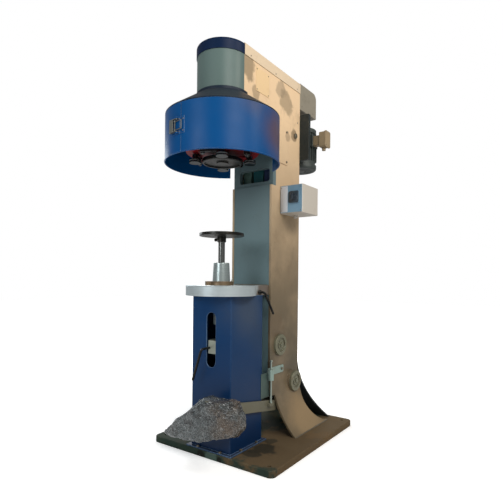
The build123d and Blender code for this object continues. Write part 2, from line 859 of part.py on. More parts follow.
def latch_loop():
    """Wire loop that draws the two halves together."""
    y = -guard_radius - latch_pivot_offset
    x = latch_pivot_x - loop_pivot_offset
    half = loop_half_height
    loop = post(loop_wire_radius, -half, half, x + loop_length, y)
    for side in (-1, 1):
        loop += pin_x(loop_wire_radius, x, x + loop_length, y, side * half)
        loop += Pos(x + loop_length, y, side * half) * Sphere(loop_wire_radius)
        loop += Pos(x, y, side * half) * Cylinder(4, 2 * loop_wire_radius)
        loop -= Pos(x, y, side * half) * Cylinder(2 + slide_gap, 10)
    return at_latch(Pos(0, 0, latch_middle_height) * loop)


def guard_fixed_half():
    """Left half of the guard, bent flat along the column, with the base of the latch."""
    wall = guard_wall(180 - guard_end_angle, 360 + seam_angle - seam_gap_angle)
    start = polar(guard_radius - guard_sheet / 2, 180 - guard_end_angle)
    leaf = block(-half_column - leaf_thickness, -half_column, upper_column_front - 28, leaf_rear, leaf_bottom, leaf_top)
    bend = block(start[0] - 2, -half_column, start[1] - 3, start[1] + 1, leaf_bottom, guard_top)
    tie = block(-half_column - leaf_thickness, -half_column, start[1] - 3, upper_column_front - 27, leaf_bottom, guard_top)
    return wall + leaf + bend + tie + latch_base(latch_tail, latch_nose + 8) + latch_cheeks()


def hinge_leaf():
    """Fixed leaf of the door hinge on the column's side, with knuckle and pin."""
    leaf = block(half_column, half_column + leaf_thickness, hinge_y + knuckle_radius, leaf_rear, leaf_bottom, leaf_top)
    leaf = fillet(leaf.edges().filter_by(Axis.X).sort_by(Axis.Y)[-2:], 16)
    z0, z1 = knuckle_span(1)
    low = knuckle_span(0)[0]
    high = knuckle_span(2)[1]
    ear = block(half_column, hinge_x, hinge_y + 1, hinge_y + knuckle_radius + 2, z0, z1)
    knuckle = post(knuckle_radius, z0, z1, hinge_x, hinge_y)
    return leaf + ear + knuckle + post(hinge_pin_radius, low - 3, high + 3, hinge_x, hinge_y)


def guard_cone():
    """Sloping hood between the round guard and the nose of the arm."""
    low = guard_top + cone_gap
    inner = half_column + gap
    outline = [
        (guard_radius, low),
        (guard_radius, low + cover_sheet),
        (inner + cover_sheet, cone_top),
        (inner + cover_sheet, cone_top + cone_collar),
        (inner, cone_top + cone_collar),
        (inner, cone_top - cover_sheet),
        (guard_radius - 6, low),
    ]
    hood = revolve(Plane.XZ * make_face(Polyline(*outline, close=True)), Axis.Z)
    hood -= block(-half_column - gap, half_column + gap, 0, guard_radius + 10, arm_floor_height - gap, arm_top)
    hood -= block(-half_column - gap, half_column + gap, upper_plate_face - gap, guard_radius + 10, guard_top, arm_top)
    return hood - block(-half_column - leaf_thickness - gap, half_column + leaf_thickness + 12, hinge_y - 10,
                        guard_radius + 10, guard_top, arm_top)


def pedestal():
    """Sheet pedestal with a bolting flange, a front slot and slots for the fork."""
    x = half_pedestal
    box = block(-x, x, pedestal_front, pedestal_rear, base_thickness, table_bottom)
    box = fillet(box.edges().filter_by(Axis.Z), 5)
    box += block(-x - pedestal_flange, x + pedestal_flange, pedestal_front - pedestal_flange,
                 pedestal_rear + pedestal_flange, base_thickness, base_thickness + pedestal_flange_thickness)
    inner = x - pedestal_sheet
    box -= block(-inner, inner, pedestal_front + pedestal_sheet, pedestal_rear - pedestal_sheet, 0, arm_top)
    slot = SlotOverall(slot_top - slot_bottom, slot_width, rotation=90)
    cut = Plane.XZ.offset(-pedestal_front - 20) * (Pos(0, (slot_top + slot_bottom) / 2) * slot)
    box -= extrude(cut, 60)
    for side in (-1, 1):
        box -= fork_slot(side, pedestal_rear - 20, pedestal_rear + 1)
    return box


def table_plate():
    """Round machined table with a clamp slit and a neck to the column."""
    disc = post(table_radius, table_bottom, table_top)
    disc = chamfer(disc.faces().sort_by(Axis.Z)[-1].edges(), 3)
    face = column_front + front_plate_recess
    neck = block(-neck_width / 2, neck_width / 2, 60, face, table_bottom, table_top)
    neck = fillet(neck.edges().filter_by(Axis.Z).sort_by(Axis.Y)[-2:], 2)
    plate = disc + neck
    inner = table_radius - clamp_slit_depth
    plate -= block(inner, table_radius + 5, clamp_slit_y, clamp_slit_y + clamp_slit, 0, arm_top)
    plate -= post(6, 0, arm_top, inner, clamp_slit_y + clamp_slit / 2)
    return plate - post(sleeve_top_radius + slide_gap, 0, arm_top)


def lifter_sleeve():
    """Tapered sleeve on the table that guides the lifting shaft."""
    cone = Pos(0, 0, (table_top + sleeve_top) / 2) * Cone(sleeve_foot_radius, sleeve_top_radius, sleeve_top - table_top)
    cone = fillet(cone.faces().sort_by(Axis.Z)[-1].edges(), 4)
    stem = post(sleeve_top_radius, sleeve_bottom, table_top)
    return cone + stem - post(shaft_radius + slide_gap, sleeve_bottom - 1, sleeve_top + 1)


def lock_ring():
    """Split lock ring round the sleeve's foot, with two ears and a screw hole."""
    ring = pipe(lock_ring_radius, sleeve_foot_radius + gap, table_top, table_top + lock_ring_height)
    ears = block(-14, 14, -lock_ring_radius - 20, -lock_ring_radius + 8, table_top, table_top + lock_ring_height)
    ring += Rot(0, 0, -35) * fillet(ears.edges().filter_by(Axis.Z), 3)
    slit = block(-2, 2, -lock_ring_radius - 30, -20, table_top - 1, table_top + 60)
    return ring - Rot(0, 0, -35) * slit


def lifter_shaft():
    """Lifting shaft."""
    bar = post(shaft_radius, shaft_bottom, lifter_disc_top - 7 - gap)
    return chamfer(bar.faces().sort_by(Axis.Z)[-1].edges(), 1.5)


def lifter_disc():
    """Can plate with a raised rim line, free to turn on the shaft."""
    bottom = lifter_disc_top - lifter_disc_thickness
    disc = post(lifter_disc_radius, bottom, lifter_disc_top)
    disc = fillet(disc.edges().filter_by(GeomType.CIRCLE), 2)
    disc -= pipe(lifter_disc_radius - 14, lifter_disc_radius - 18, lifter_disc_top - 1.5, lifter_disc_top + 1)
    hub = post(lifter_hub_radius, bottom - lifter_hub_height, bottom)
    hub = chamfer(hub.faces().sort_by(Axis.Z)[0].edges(), 3)
    knob = pin_x(8, -lifter_hub_radius - 20, -lifter_hub_radius + 6, 0, bottom - 16)
    body = disc + hub + knob
    return body - post(shaft_radius + slide_gap, bottom - lifter_hub_height - 1, lifter_disc_top - 7)


def lift_collar():
    """Clamped block on the shaft that the fork lifts, seen in the front slot."""
    top = collar_bottom + collar_height
    block_rear = block(-36, 36, -45, 42, collar_bottom, top)
    nose = block(-24, 24, pedestal_front + pedestal_sheet + 1, -45, collar_bottom, top)
    collar = fillet((block_rear + nose).edges().filter_by(Axis.Z), 3)
    collar -= post(shaft_radius, 0, arm_top)
    handle_z = collar_bottom + 28
    return collar - pin_y(clamp_rod_radius + slide_gap, pedestal_front, -40, collar_handle_x, handle_z)


def angled_handle(stub, arm, lean):
    """L-shaped clamp rod: a stub along -Y from the origin, then an arm hanging down."""
    corner = 2.2 * clamp_rod_radius
    end = (-arm * sin(radians(lean)), -stub, -arm * cos(radians(lean)))
    path = FilletPolyline((0, 0, 0), (0, -stub, 0), end, radius=corner)
    section = Plane((0, 0, 0), x_dir=(1, 0, 0), z_dir=(0, -1, 0)) * Circle(clamp_rod_radius)
    rod = sweep(section, path)
    return rod + Pos(*end) * Sphere(clamp_rod_radius)


def collar_handle():
    """Clamp handle of the collar in the pedestal's slot."""
    start = -62
    stub = start - (pedestal_front - collar_handle_reach)
    rod = angled_handle(stub, collar_handle_length, collar_handle_lean)
    return Pos(collar_handle_x, start, collar_bottom + 28) * rod


def table_handle():
    """Clamp handle on the right side of the table's neck."""
    rod = angled_handle(table_handle_reach, table_handle_length, -table_handle_lean)
    boss = Rot(90, 0, 0) * Cylinder(11, 8, align=(Align.CENTER, Align.CENTER, Align.MIN))
    turned = Rot(0, 0, 90) * (rod + boss)
    return Pos(neck_width / 2 + gap, table_handle_y, table_handle_z) * turned


def pivot_shafts():
    """Two cross shafts of the linkage, each with a round cap on both sides."""
    shafts = []
    for y, z in ((upper_pivot_y, upper_pivot_z), (lower_pivot_y, lower_pivot_z)):
        near = cap_seat_x(z) + gap
        far = near + pivot_cap_thickness
        cap = pin_x(pivot_cap_radius, near, far, y, z)
        cap = fillet(cap.faces().sort_by(Axis.X)[-1].edges(), 3)
        cap -= pin_x(pivot_cap_radius - 18, far - 7, far + 1, y, z)
        cap += pin_x(pivot_shaft_radius + 4, near, far - 2, y, z)
        cap += Pos(far - 2, y, z) * Rot(0, 90, 0) * hex_bolt(13, 8)
        shafts.append(pin_x(pivot_shaft_radius, -near, near, y, z) + cap + mirror(cap, Plane.YZ))
    return shafts


def cap_seat_x(z):
    """Face of the side plate, or of its boss, that a pivot cap sits against."""
    wall = outer_wall_x(z - pivot_cap_radius)
    return wall + pivot_seat_lift if wall > half_column else wall


def outer_wall_x(z):
    """Outer face of the side wall at a height."""
    drop = max(0.0, foot_flare_start - z)
    return foot_arc_x - sqrt(foot_flare_radius ** 2 - drop ** 2)


def bar_top(y):
    """Height of the treadle bar's upper edge."""
    return bar_rear_z + bar_height / 2 + bar_slope * (bar_rear_y - y)


def side_bar(extra):
    """Sloping bar of the treadle, grown by a clearance."""
    half = bar_height / 2 + extra
    outline = [
        (bar_rear_y, bar_rear_z - half),
        (bar_front_y - extra, bar_front_z - half),
        (bar_front_y - extra, bar_front_z + half),
        (bar_rear_y, bar_rear_z + half),
    ]
    return side_profile(outline, bar_x - extra, bar_x + bar_thickness + extra)


def foot_plate(extra):
    """Foot plate on the bar's front end, grown by a clearance."""
    middle = tread_front_y + tread_depth / 2
    place = Pos(tread_left + tread_width / 2, middle, bar_top(middle) + tread_thickness / 2 - 1)
    height = tread_thickness + 2 * (tread_rib_height + extra if extra > 0 else 0)
    plate = Box(tread_width + 2 * extra, tread_depth + 2 * extra, height)
    plate = fillet(plate.edges().filter_by(Axis.Z), 10)
    if extra == 0:
        for index in range(5):
            rib = Pos(0, (index - 2) * 17, tread_thickness / 2) * Box(tread_width - 24, 3, 2 * tread_rib_height)
            plate += rib
    return place * Rot(-degrees(bar_slope) * 0.99, 0, 0) * plate


def pedal_lever():
    """Treadle: side bar with a foot plate, a cross tube and two arms to the pivot."""
    outer = bar_x + bar_thickness
    arm_end = inner_arm_x + bar_thickness
    lever = side_bar(0) + pin_x(bar_height / 2, bar_x, outer, bar_rear_y, bar_rear_z)
    lever += pin_x(cross_tube_radius, -arm_end, outer, bar_rear_y, bar_rear_z)
    pivot = (lower_pivot_y, lower_pivot_z)
    for side in (-1, 1):
        sides = sorted((side * inner_arm_x, side * arm_end))
        lever += link_plate(pivot, (bar_rear_y, bar_rear_z), 2 * pivot_hub_radius, *sides, cross_tube_radius + 4)
    lever += link_plate(pivot, (link_y, lower_pivot_z), 2 * pivot_hub_radius, inner_arm_x, arm_end, 20)
    lever += pin_x(link_pin_radius, inner_arm_x - link_thickness - 6, arm_end, link_y, lower_pivot_z)
    lever += pin_x(pivot_hub_radius, -arm_end, arm_end, *pivot)
    lever -= pin_x(pivot_shaft_radius + slide_gap, -200, 200, *pivot)
    lug_top = return_rod_bottom - gap
    lug = block(outer - 4, return_rod_x + 9, return_rod_y - 24, return_rod_y + 12, lug_top - 14, lug_top)
    return lever + foot_plate(0) + lug


def lift_rocker():
    """Fork lever on the upper pivot that raises the collar."""
    hub_left = -rocker_arm_x - rocker_arm_thickness - 8
    hub = pin_x(pivot_hub_radius, hub_left, rear_arm_x + link_thickness, upper_pivot_y, upper_pivot_z)
    tip = (0, collar_bottom - gap - fork_radius)
    for side in (-1, 1):
        near = side * rocker_arm_x
        far = side * (rocker_arm_x + rocker_arm_thickness)
        hub += link_plate((upper_pivot_y, upper_pivot_z), tip, rocker_arm_height, min(near, far), max(near, far), 9)
        hub += pin_x(fork_radius, min(near, far), max(near, far), *tip)
    hub += link_plate((upper_pivot_y, upper_pivot_z), (link_y, upper_pivot_z), 40, rear_arm_x,
                      rear_arm_x + link_thickness, 18)
    pin = pin_x(link_pin_radius, rear_arm_x, inner_arm_x - 3, link_y, upper_pivot_z)
    return hub + pin - pin_x(pivot_shaft_radius + slide_gap, -200, 200, upper_pivot_y, upper_pivot_z)


def pull_link():
    """Flat link from the pedal's pin up to the rocker's pin, with a loose upper hole."""
    x1 = inner_arm_x - gap
    x0 = x1 - link_thickness
    link = link_plate((link_y, lower_pivot_z), (link_y, upper_pivot_z), 36, x0, x1)
    link -= pin_x(link_pin_radius + slide_gap, x0 - 1, x1 + 1, link_y, lower_pivot_z)
    return link - pin_x(link_pin_radius + open_pivot_gap, x0 - 1, x1 + 1, link_y, upper_pivot_z)


def return_rod():
    """Thin rod that stands on the pedal's lug and slides in its guide."""
    rod = post(return_rod_radius, return_rod_bottom, return_rod_top, return_rod_x, return_rod_y)
    foot = post(8, return_rod_bottom, return_rod_bottom + 8, return_rod_x, return_rod_y)
    head = Pos(return_rod_x, return_rod_y, return_rod_top) * hex_bolt(9, 8)
    return rod + foot + head


def rod_guide():
    """Guide sleeve on the front edge of the side plate."""
    sleeve = post(rod_guide_radius, rod_guide_bottom, rod_guide_top, return_rod_x, return_rod_y)
    tab = block(inside_half + 2, return_rod_x, column_front - 14, column_front, rod_guide_bottom + 6, rod_guide_top - 6)
    side = half_column + gap
    outer_tab = block(side, side + guide_tab_thickness, return_rod_y - 8, guide_tab_rear, guide_tab_bottom, guide_tab_top)
    outer_tab = fillet(outer_tab.edges().filter_by(Axis.X).sort_by(Axis.Y)[-2:], 8)
    guide = sleeve + tab + outer_tab
    return guide - post(return_rod_radius + slide_gap, 0, arm_top, return_rod_x, return_rod_y)


def pedal_wrap():
    """Film bag that hangs on the foot plate, hollow where the plate and bar are."""
    corners = [
        (0, 0),
        (0.439, 0.026),
        (0.734, 0.181),
        (0.921, 0.289),
        (1, 0.534),
        (0.931, 1),
        (0.550, 1),
        (0.456, 0.819),
        (0.210, 0.448),
        (0.028, 0.147),
    ]
    left = tread_left - wrap_overhang
    bottom = bar_front_z - wrap_drop
    outline = [(left + across * wrap_width, bottom + up * wrap_height) for across, up in corners]
    face = make_face(Polyline(*outline, close=True))
    face = Plane.XZ.offset(-wrap_rear) * fillet(face.vertices(), 14)
    bag = extrude(face, wrap_rear - wrap_front)
    bag = fillet(bag.faces().sort_by(Axis.Y)[0].edges(), 12)
    return bag - foot_plate(gap) - side_bar(gap)


def switch_box():
    """Starter housing on the column's side."""
    x0 = half_column
    body = block(x0, x0 + switch_reach, switch_front, switch_front + switch_depth, switch_bottom,
                 switch_bottom + switch_height)
    body = chamfer(body.edges().filter_by(Axis.Z).sort_by(Axis.X)[-2:], switch_corner)
    body = fillet(body.edges().filter_by(Axis.Z).sort_by(Axis.X)[:2], 3)
    gland = post(11, switch_bottom - 16, switch_bottom, x0 + 40, switch_front + 100)
    return body + gland


def switch_panel():
    """Front panel with the raised square bezel of the switch."""
    x0 = half_column + 3
    panel = block(x0, half_column + switch_reach - switch_corner, switch_front - switch_panel_thickness, switch_front,
                  switch_bottom + 3, switch_bottom + switch_height - 3)
    half = bezel_size / 2
    bezel = block(bezel_x - half, bezel_x + half, switch_front - 9, switch_front - 2, bezel_z - half, bezel_z + half)
    panel += fillet(bezel.edges().filter_by(Axis.Y), 9)
    return panel - pin_y(5 + slide_gap, switch_front - 12, switch_front + 2, bezel_x, bezel_z)


def switch_knob():
    """Rotary switch knob with a grip bar."""
    front = switch_front - 9 - gap
    knob = pin_y(knob_radius + 4, front - 6, front, bezel_x, bezel_z)
    grip = block(bezel_x - 5, bezel_x + 5, front - knob_length, front - 5, bezel_z - knob_radius - 4,
                 bezel_z + knob_radius + 4)
    knob += fillet(grip.edges().filter_by(Axis.Y), 3)
    return knob + pin_y(5, front - 2, switch_front - 1, bezel_x, bezel_z)


def data_plate():
    """Blank plate on the arm's side."""
    x0 = half_column
    plate = block(x0, x0 + plate_sheet, plate_y, plate_y + plate_length, plate_z, plate_z + plate_height)
    return fillet(plate.edges().filter_by(Axis.X), 5)


def side_bolts():
    """Bolt heads on the outer faces of the column and arm."""
    heads = []
    spots = [(half_column, column_rear - 56.5, arm_floor_height - 32, 16, 9)]
    for z in (leaf_bottom + 16, leaf_top - 24):
        spots.append((half_column + leaf_thickness, leaf_rear - 22, z, 6, 4))
    for x, y, z, radius, height in spots:
        for side in (-1, 1):
            heads.append(Pos(side * x, y, z) * Rot(0, 90 * side, 0) * hex_bolt(radius, height))
    z = (guide_tab_bottom + guide_tab_top) / 2
    for side, x in ((-1, half_column + gap), (1, half_column + 2 * gap + guide_tab_thickness)):
        heads.append(Pos(side * x, guide_tab_rear - 20, z) * Rot(0, 90 * side, 0) * hex_bolt(8, 6))
    return heads


def flange_bolts():
    """Bolt heads on the pedestal's flange."""
    heads = []
    level = base_thickness + pedestal_flange_thickness
    x = half_pedestal + pedestal_flange / 2
    for side in (-1, 1):
        for y in (0, pedestal_rear - 60):
            heads.append(Pos(side * x, y, level) * hex_bolt(7.5, 7))
        heads.append(Pos(side * 70, pedestal_front - pedestal_flange / 2, level) * hex_bolt(7.5, 7))
    return heads


def motor_bolts():
    """Bolt heads at the corners of the motor plate."""
    heads = []
    for x in (motor_x - motor_plate_width / 2 + 22, motor_x + motor_plate_width / 2 - 22):
        for z in (motor_plate_bottom + 24, motor_plate_top - 24):
            heads.append(Pos(x, motor_plate_back, z) * Rot(-90, 0, 0) * hex_bolt(10, 8))
    return heads


def write(name, shape):
    """Write one node as a STEP file."""
    if isinstance(shape, list):
        shape = Compound(children=shape)
    export_step(shape, os.path.join("parts", name + ".step"))


def main():
    """Build every node."""
    os.makedirs("parts", exist_ok=True)
    write("base_plate", base_plate())
    write("right_side_plate", side_plate(1))
    write("left_side_plate", side_plate(-1))
    write("lower_front_plate", lower_front_plate())
    write("upper_front_plate", upper_front_plate())
    write("rear_plate", rear_plate())
    write("head_casing", head_casing())
    write("head_cap", head_cap())
    write("arm_lid", arm_lid())
    write("bearing_housing", bearing_housing())
    write("spindle_bearings", spindle_bearings())
    write("head_spindle", head_spindle())
    write("driven_pulley", driven_pulley())
    write("v_belt", v_belt())
    write("motor_pulley", motor_pulley())
    write("chuck_shaft", chuck_shaft())
    write("chuck", chuck())
    write("roll_carrier", roll_carrier())
    write("cam_disc", cam_disc())
    for index in range(lever_count):
        angle = index * 360 / lever_count
        number = str(index + 1)
        write("roll_lever_" + number, roll_lever(angle))
        write("seam_roll_" + number, seam_roll(angle, 4 if index % 2 == 0 else 2.5))
    write("motor_plate", motor_plate())
    write("motor_body", motor_body())
    write("fan_cover", fan_cover())
    write("terminal_box", terminal_box())
    write("belt_guard", belt_guard())
    write("guard_door", guard_door())
    write("guard_fixed_half", guard_fixed_half())
    write("hinge_leaf", hinge_leaf())
    write("guard_cone", guard_cone())
    write("latch_lever", latch_lever())
    write("latch_loop", latch_loop())
    write("pedestal", pedestal())
    write("table_plate", table_plate())
    write("lifter_sleeve", lifter_sleeve())
    write("lock_ring", lock_ring())
    write("lifter_shaft", lifter_shaft())
    write("lifter_disc", lifter_disc())
    write("lift_collar", lift_collar())
    write("collar_handle", collar_handle())
    write("table_handle", table_handle())
    write("pivot_shafts", pivot_shafts())
    write("pedal_lever", pedal_lever())
    write("lift_rocker", lift_rocker())
    write("pull_link", pull_link())
    write("return_rod", return_rod())
    write("rod_guide", rod_guide())
    write("pedal_wrap", pedal_wrap())
    write("switch_box", switch_box())
    write("switch_panel", switch_panel())
    write("switch_knob", switch_knob())
    write("data_plate", data_plate())
    write("frame_bolts", side_bolts() + flange_bolts() + motor_bolts())


main()
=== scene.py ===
"""Looks, studio and camera for a floor-standing can seamer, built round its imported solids."""

from __future__ import annotations

import json
import logging
import math
from dataclasses import dataclass
from enum import Enum
from typing import Any, Callable, Iterable, Optional, Sequence, Union

import bmesh
import bpy
from mathutils import Matrix, Vector, noise

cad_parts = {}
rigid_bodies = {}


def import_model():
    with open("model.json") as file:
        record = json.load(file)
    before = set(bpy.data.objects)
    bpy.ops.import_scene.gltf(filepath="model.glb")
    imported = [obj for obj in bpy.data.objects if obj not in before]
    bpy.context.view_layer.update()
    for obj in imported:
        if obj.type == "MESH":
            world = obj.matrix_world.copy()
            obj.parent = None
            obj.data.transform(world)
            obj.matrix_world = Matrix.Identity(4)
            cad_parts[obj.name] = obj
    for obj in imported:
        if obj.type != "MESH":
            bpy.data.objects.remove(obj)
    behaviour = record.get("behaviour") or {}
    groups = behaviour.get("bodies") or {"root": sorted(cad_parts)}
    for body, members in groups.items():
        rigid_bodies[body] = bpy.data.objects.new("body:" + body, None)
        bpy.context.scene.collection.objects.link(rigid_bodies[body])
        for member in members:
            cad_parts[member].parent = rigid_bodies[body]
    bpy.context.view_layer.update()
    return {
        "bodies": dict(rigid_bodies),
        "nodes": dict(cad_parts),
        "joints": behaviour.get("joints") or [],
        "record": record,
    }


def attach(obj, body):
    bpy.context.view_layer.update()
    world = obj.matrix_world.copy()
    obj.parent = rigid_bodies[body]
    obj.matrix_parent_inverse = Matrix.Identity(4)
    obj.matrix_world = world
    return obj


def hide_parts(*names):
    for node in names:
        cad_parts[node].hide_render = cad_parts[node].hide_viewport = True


LOG = logging.getLogger("can_seamer")

Colour = tuple[float, float, float]
Point = tuple[float, float, float]
BMesh = bmesh.types.BMesh


def paint(chip: str) -> Colour:
    """Linear colour of a paint chip.

    Args:
        chip: Its red, green and blue, as two hexadecimal digits each.

    Returns:
        The three linear parts.
    """
    parts = []
    for start in (0, 2, 4):
        share = int(chip[start:start + 2], 16) / 255
        parts.append(share / 12.92 if share <= 0.04045 else ((share + 0.055) / 1.055) ** 2.4)
    return (parts[0], parts[1], parts[2])


def operator(operation: str, swapped: bool = False) -> Callable[[Value, Number], Value]:
    """An operator of Value that adds one Math node.

    Args:
        operation: What the node does.
        swapped: Whether the other operand comes first.

    Returns:
        The operator.
    """

    def apply(value: Value, other: Number) -> Value:
        """Adds the node."""
        first, second = (other, value) if swapped else (value, other)
        return value.graph.node("Math", {"operation": operation}, {0: first, 1: second})

    return apply


class Value:
    """A socket in a node tree that can be used in sums."""

    __add__ = operator("ADD")
    __radd__ = operator("ADD", True)
    __sub__ = operator("SUBTRACT")
    __rsub__ = operator("SUBTRACT", True)
    __mul__ = operator("MULTIPLY")
    __truediv__ = operator("DIVIDE")
    __pow__ = operator("POWER")

    def __init__(self, graph: Graph, socket: bpy.types.NodeSocket) -> None:
        """Keeps the tree and the socket."""
        self.graph = graph
        self.socket = socket

    def __abs__(self) -> Value:
        """Self without its sign."""
        return self.graph.node("Math", {"operation": "ABSOLUTE"}, {0: self})

    def step(self, low: float, high: float, curve: str = "SMOOTHSTEP") -> Value:
        """A step from 0 to 1.

        Args:
            low: Where the step starts, at 0.
            high: Where it ends, at 1.
            curve: The way it climbs, LINEAR for a straight ramp.

        Returns:
            The step.
        """
        return self.graph.node("MapRange", {"interpolation_type": curve}, {0: self, 1: low, 2: high})


Number = Union[float, int, Value]


class Graph:
    """A node tree while it is put together."""

    def __init__(self, tree: bpy.types.NodeTree) -> None:
        """Starts with an empty tree."""
        self.tree = tree
        tree.nodes.clear()

    def put(self, socket: bpy.types.NodeSocket, given: Any) -> None:
        """Links a socket, or sets it to a number, a vector or a colour."""
        if isinstance(given, Value):
            self.tree.links.new(given.socket, socket)
        elif isinstance(given, tuple) and socket.type == "RGBA":
            socket.default_value = (*given, 1.0)
        else:
            socket.default_value = given

    def node(self, kind: str, settings: dict[str, Any], inputs: dict[Any, Any], output: Any = 0) -> Value:
        """Adds a node.

        Args:
            kind: The node's type, without what all types start with.
            settings: Its settings, set first.
            inputs: Values or links for its sockets, by name or place.
            output: The socket that is handed back.

        Returns:
            The chosen output.
        """
        made = self.tree.nodes.new(f"ShaderNode{kind}")
        for key, setting in settings.items():
            setattr(made, key, setting)
        for key, given in inputs.items():
            self.put(made.inputs[key], given)
        return Value(self, made.outputs[output])


class Shader(Graph):
    """A material while its node tree is put together."""

    def __init__(self, name: str) -> None:
        """Starts a material with one shader and its output.

        Args:
            name: The material's name.
        """
        self.material = bpy.data.materials.new(name)
        self.material.use_nodes = True
        super().__init__(self.material.node_tree)
        self.surface = self.tree.nodes.new("ShaderNodeBsdfPrincipled")
        output = self.tree.nodes.new("ShaderNodeOutputMaterial")
        self.tree.links.new(self.surface.outputs[0], output.inputs["Surface"])
        self.place = self.node("TexCoord", {}, {}, "Object")

    def stretch(self, scale: Point, place: Optional[Value] = None) -> Value:
        """The place on the object, or another place, stretched along its axes."""
        return self.node("Mapping", {}, {"Vector": place or self.place, "Scale": scale})

    def cloud(self, scale: float, detail: float, rough: float = 0.55, place: Optional[Value] = None) -> Value:
        """Soft noise around 0.5.

        Args:
            scale: Patches per metre.
            detail: Number of finer layers.
            rough: Strength of the finer layers.
            place: Where it is read, or the object's own place.

        Returns:
            The noise.
        """
        inputs = {"Vector": place or self.place, "Scale": scale, "Detail": detail, "Roughness": rough}
        return self.node("TexNoise", {}, inputs)

    def cells(self, scale: float) -> Value:
        """Distance in a field of cells, so many per metre."""
        return self.node("TexVoronoi", {}, {"Vector": self.place, "Scale": scale})

    def axis(self, name: str, source: Optional[Value] = None) -> Value:
        """One part of a vector, X, Y or Z, by default of the place on the object."""
        return self.node("SeparateXYZ", {}, {0: source or self.place}, name)

    def mix(self, first: Any, second: Any, share: Number) -> Value:
        """Mixes two colours.

        Args:
            first: Colour at 0.
            second: Colour at 1.
            share: How much of the second shows.

        Returns:
            The mixed colour.
        """
        return self.node("Mix", {"data_type": "RGBA"}, {0: share, 6: first, 7: second}, 2)

    def far_from(self, centre: Point) -> Value:
        """Distance in metres from a point on the object."""
        inputs = {0: self.place, 1: centre}
        return self.node("VectorMath", {"operation": "DISTANCE"}, inputs, "Value")

    def edges(self, radius: float) -> tuple[Value, Value]:
        """Rounded edges.

        Args:
            radius: Their radius in metres.

        Returns:
            The rounded normal, and a mask of the edges.
        """
        rounded = self.node("Bevel", {"samples": 4}, {"Radius": radius})
        flat = self.node("NewGeometry", {}, {}, "Normal")
        same = self.node("VectorMath", {"operation": "DOT_PRODUCT"}, {0: rounded, 1: flat}, "Value")
        return rounded, (1.0 - same).step(0.01, 0.12)

    def facing_up(self) -> Value:
        """How far the surface faces up, from 0 to 1."""
        normal = self.node("NewGeometry", {}, {}, "Normal")
        return self.axis("Z", normal).step(0.45, 0.95)

    def bump(self, height: Value, strength: float, depth: float, normal: Optional[Value] = None) -> Value:
        """A normal for relief.

        Args:
            height: The relief.
            strength: Its share.
            depth: Its depth in metres.
            normal: The normal it adds to.

        Returns:
            The new normal.
        """
        inputs: dict[Any, Any] = {"Strength": strength, "Distance": depth, "Height": height}
        if normal is not None:
            inputs["Normal"] = normal
        return self.node("Bump", {}, inputs)

    def feed(self, **sockets: Any) -> None:
        """Sets or links the shader's sockets, with _ for a space in their names."""
        for key, given in sockets.items():
            self.put(self.surface.inputs[key.replace("_", " ")], given)

    def stain(self, colour: Any, patches: Iterable[Patch], blotch: Value, steps: Point) -> Any:
        """Lays patches over a colour: stains, and on some finishes painted light or shade.

        Args:
            colour: The colour below.
            patches: The patches, stains or painted light.
            blotch: Noise that makes their rims ragged.
            steps: How ragged they are if the patch doesn't say, and where their rim starts and ends.

        Returns:
            The colour with its patches laid over it.
        """
        for patch in patches:
            near = 1.0 - self.far_from(patch.centre) / patch.radius
            ragged = steps[0] if patch.ragged is None else patch.ragged
            mask = (near + (blotch - 0.5) * ragged).step(steps[1], steps[2] + patch.soft)
            colour = self.mix(colour, patch.colour, mask * patch.strength)
        return colour


@dataclass(frozen=True)
class Finish:
    """Something a piece is finished in."""

    name: str
    colour: Colour

    def make(self, shader: Shader) -> None:
        """Puts the finish's nodes into a new material."""
        raise NotImplementedError

    def material(self) -> bpy.types.Material:
        """The material, built the first time it is asked for."""
        if self.name not in bpy.data.materials:
            self.make(Shader(self.name))
        return bpy.data.materials[self.name]


@dataclass(frozen=True)
class Patch:
    """A stain, a spot of filler, or a patch of painted light or shade on a face."""

    centre: Point
    radius: float
    colour: Colour
    strength: float = 1.0
    ragged: Optional[float] = None
    soft: float = 0.0


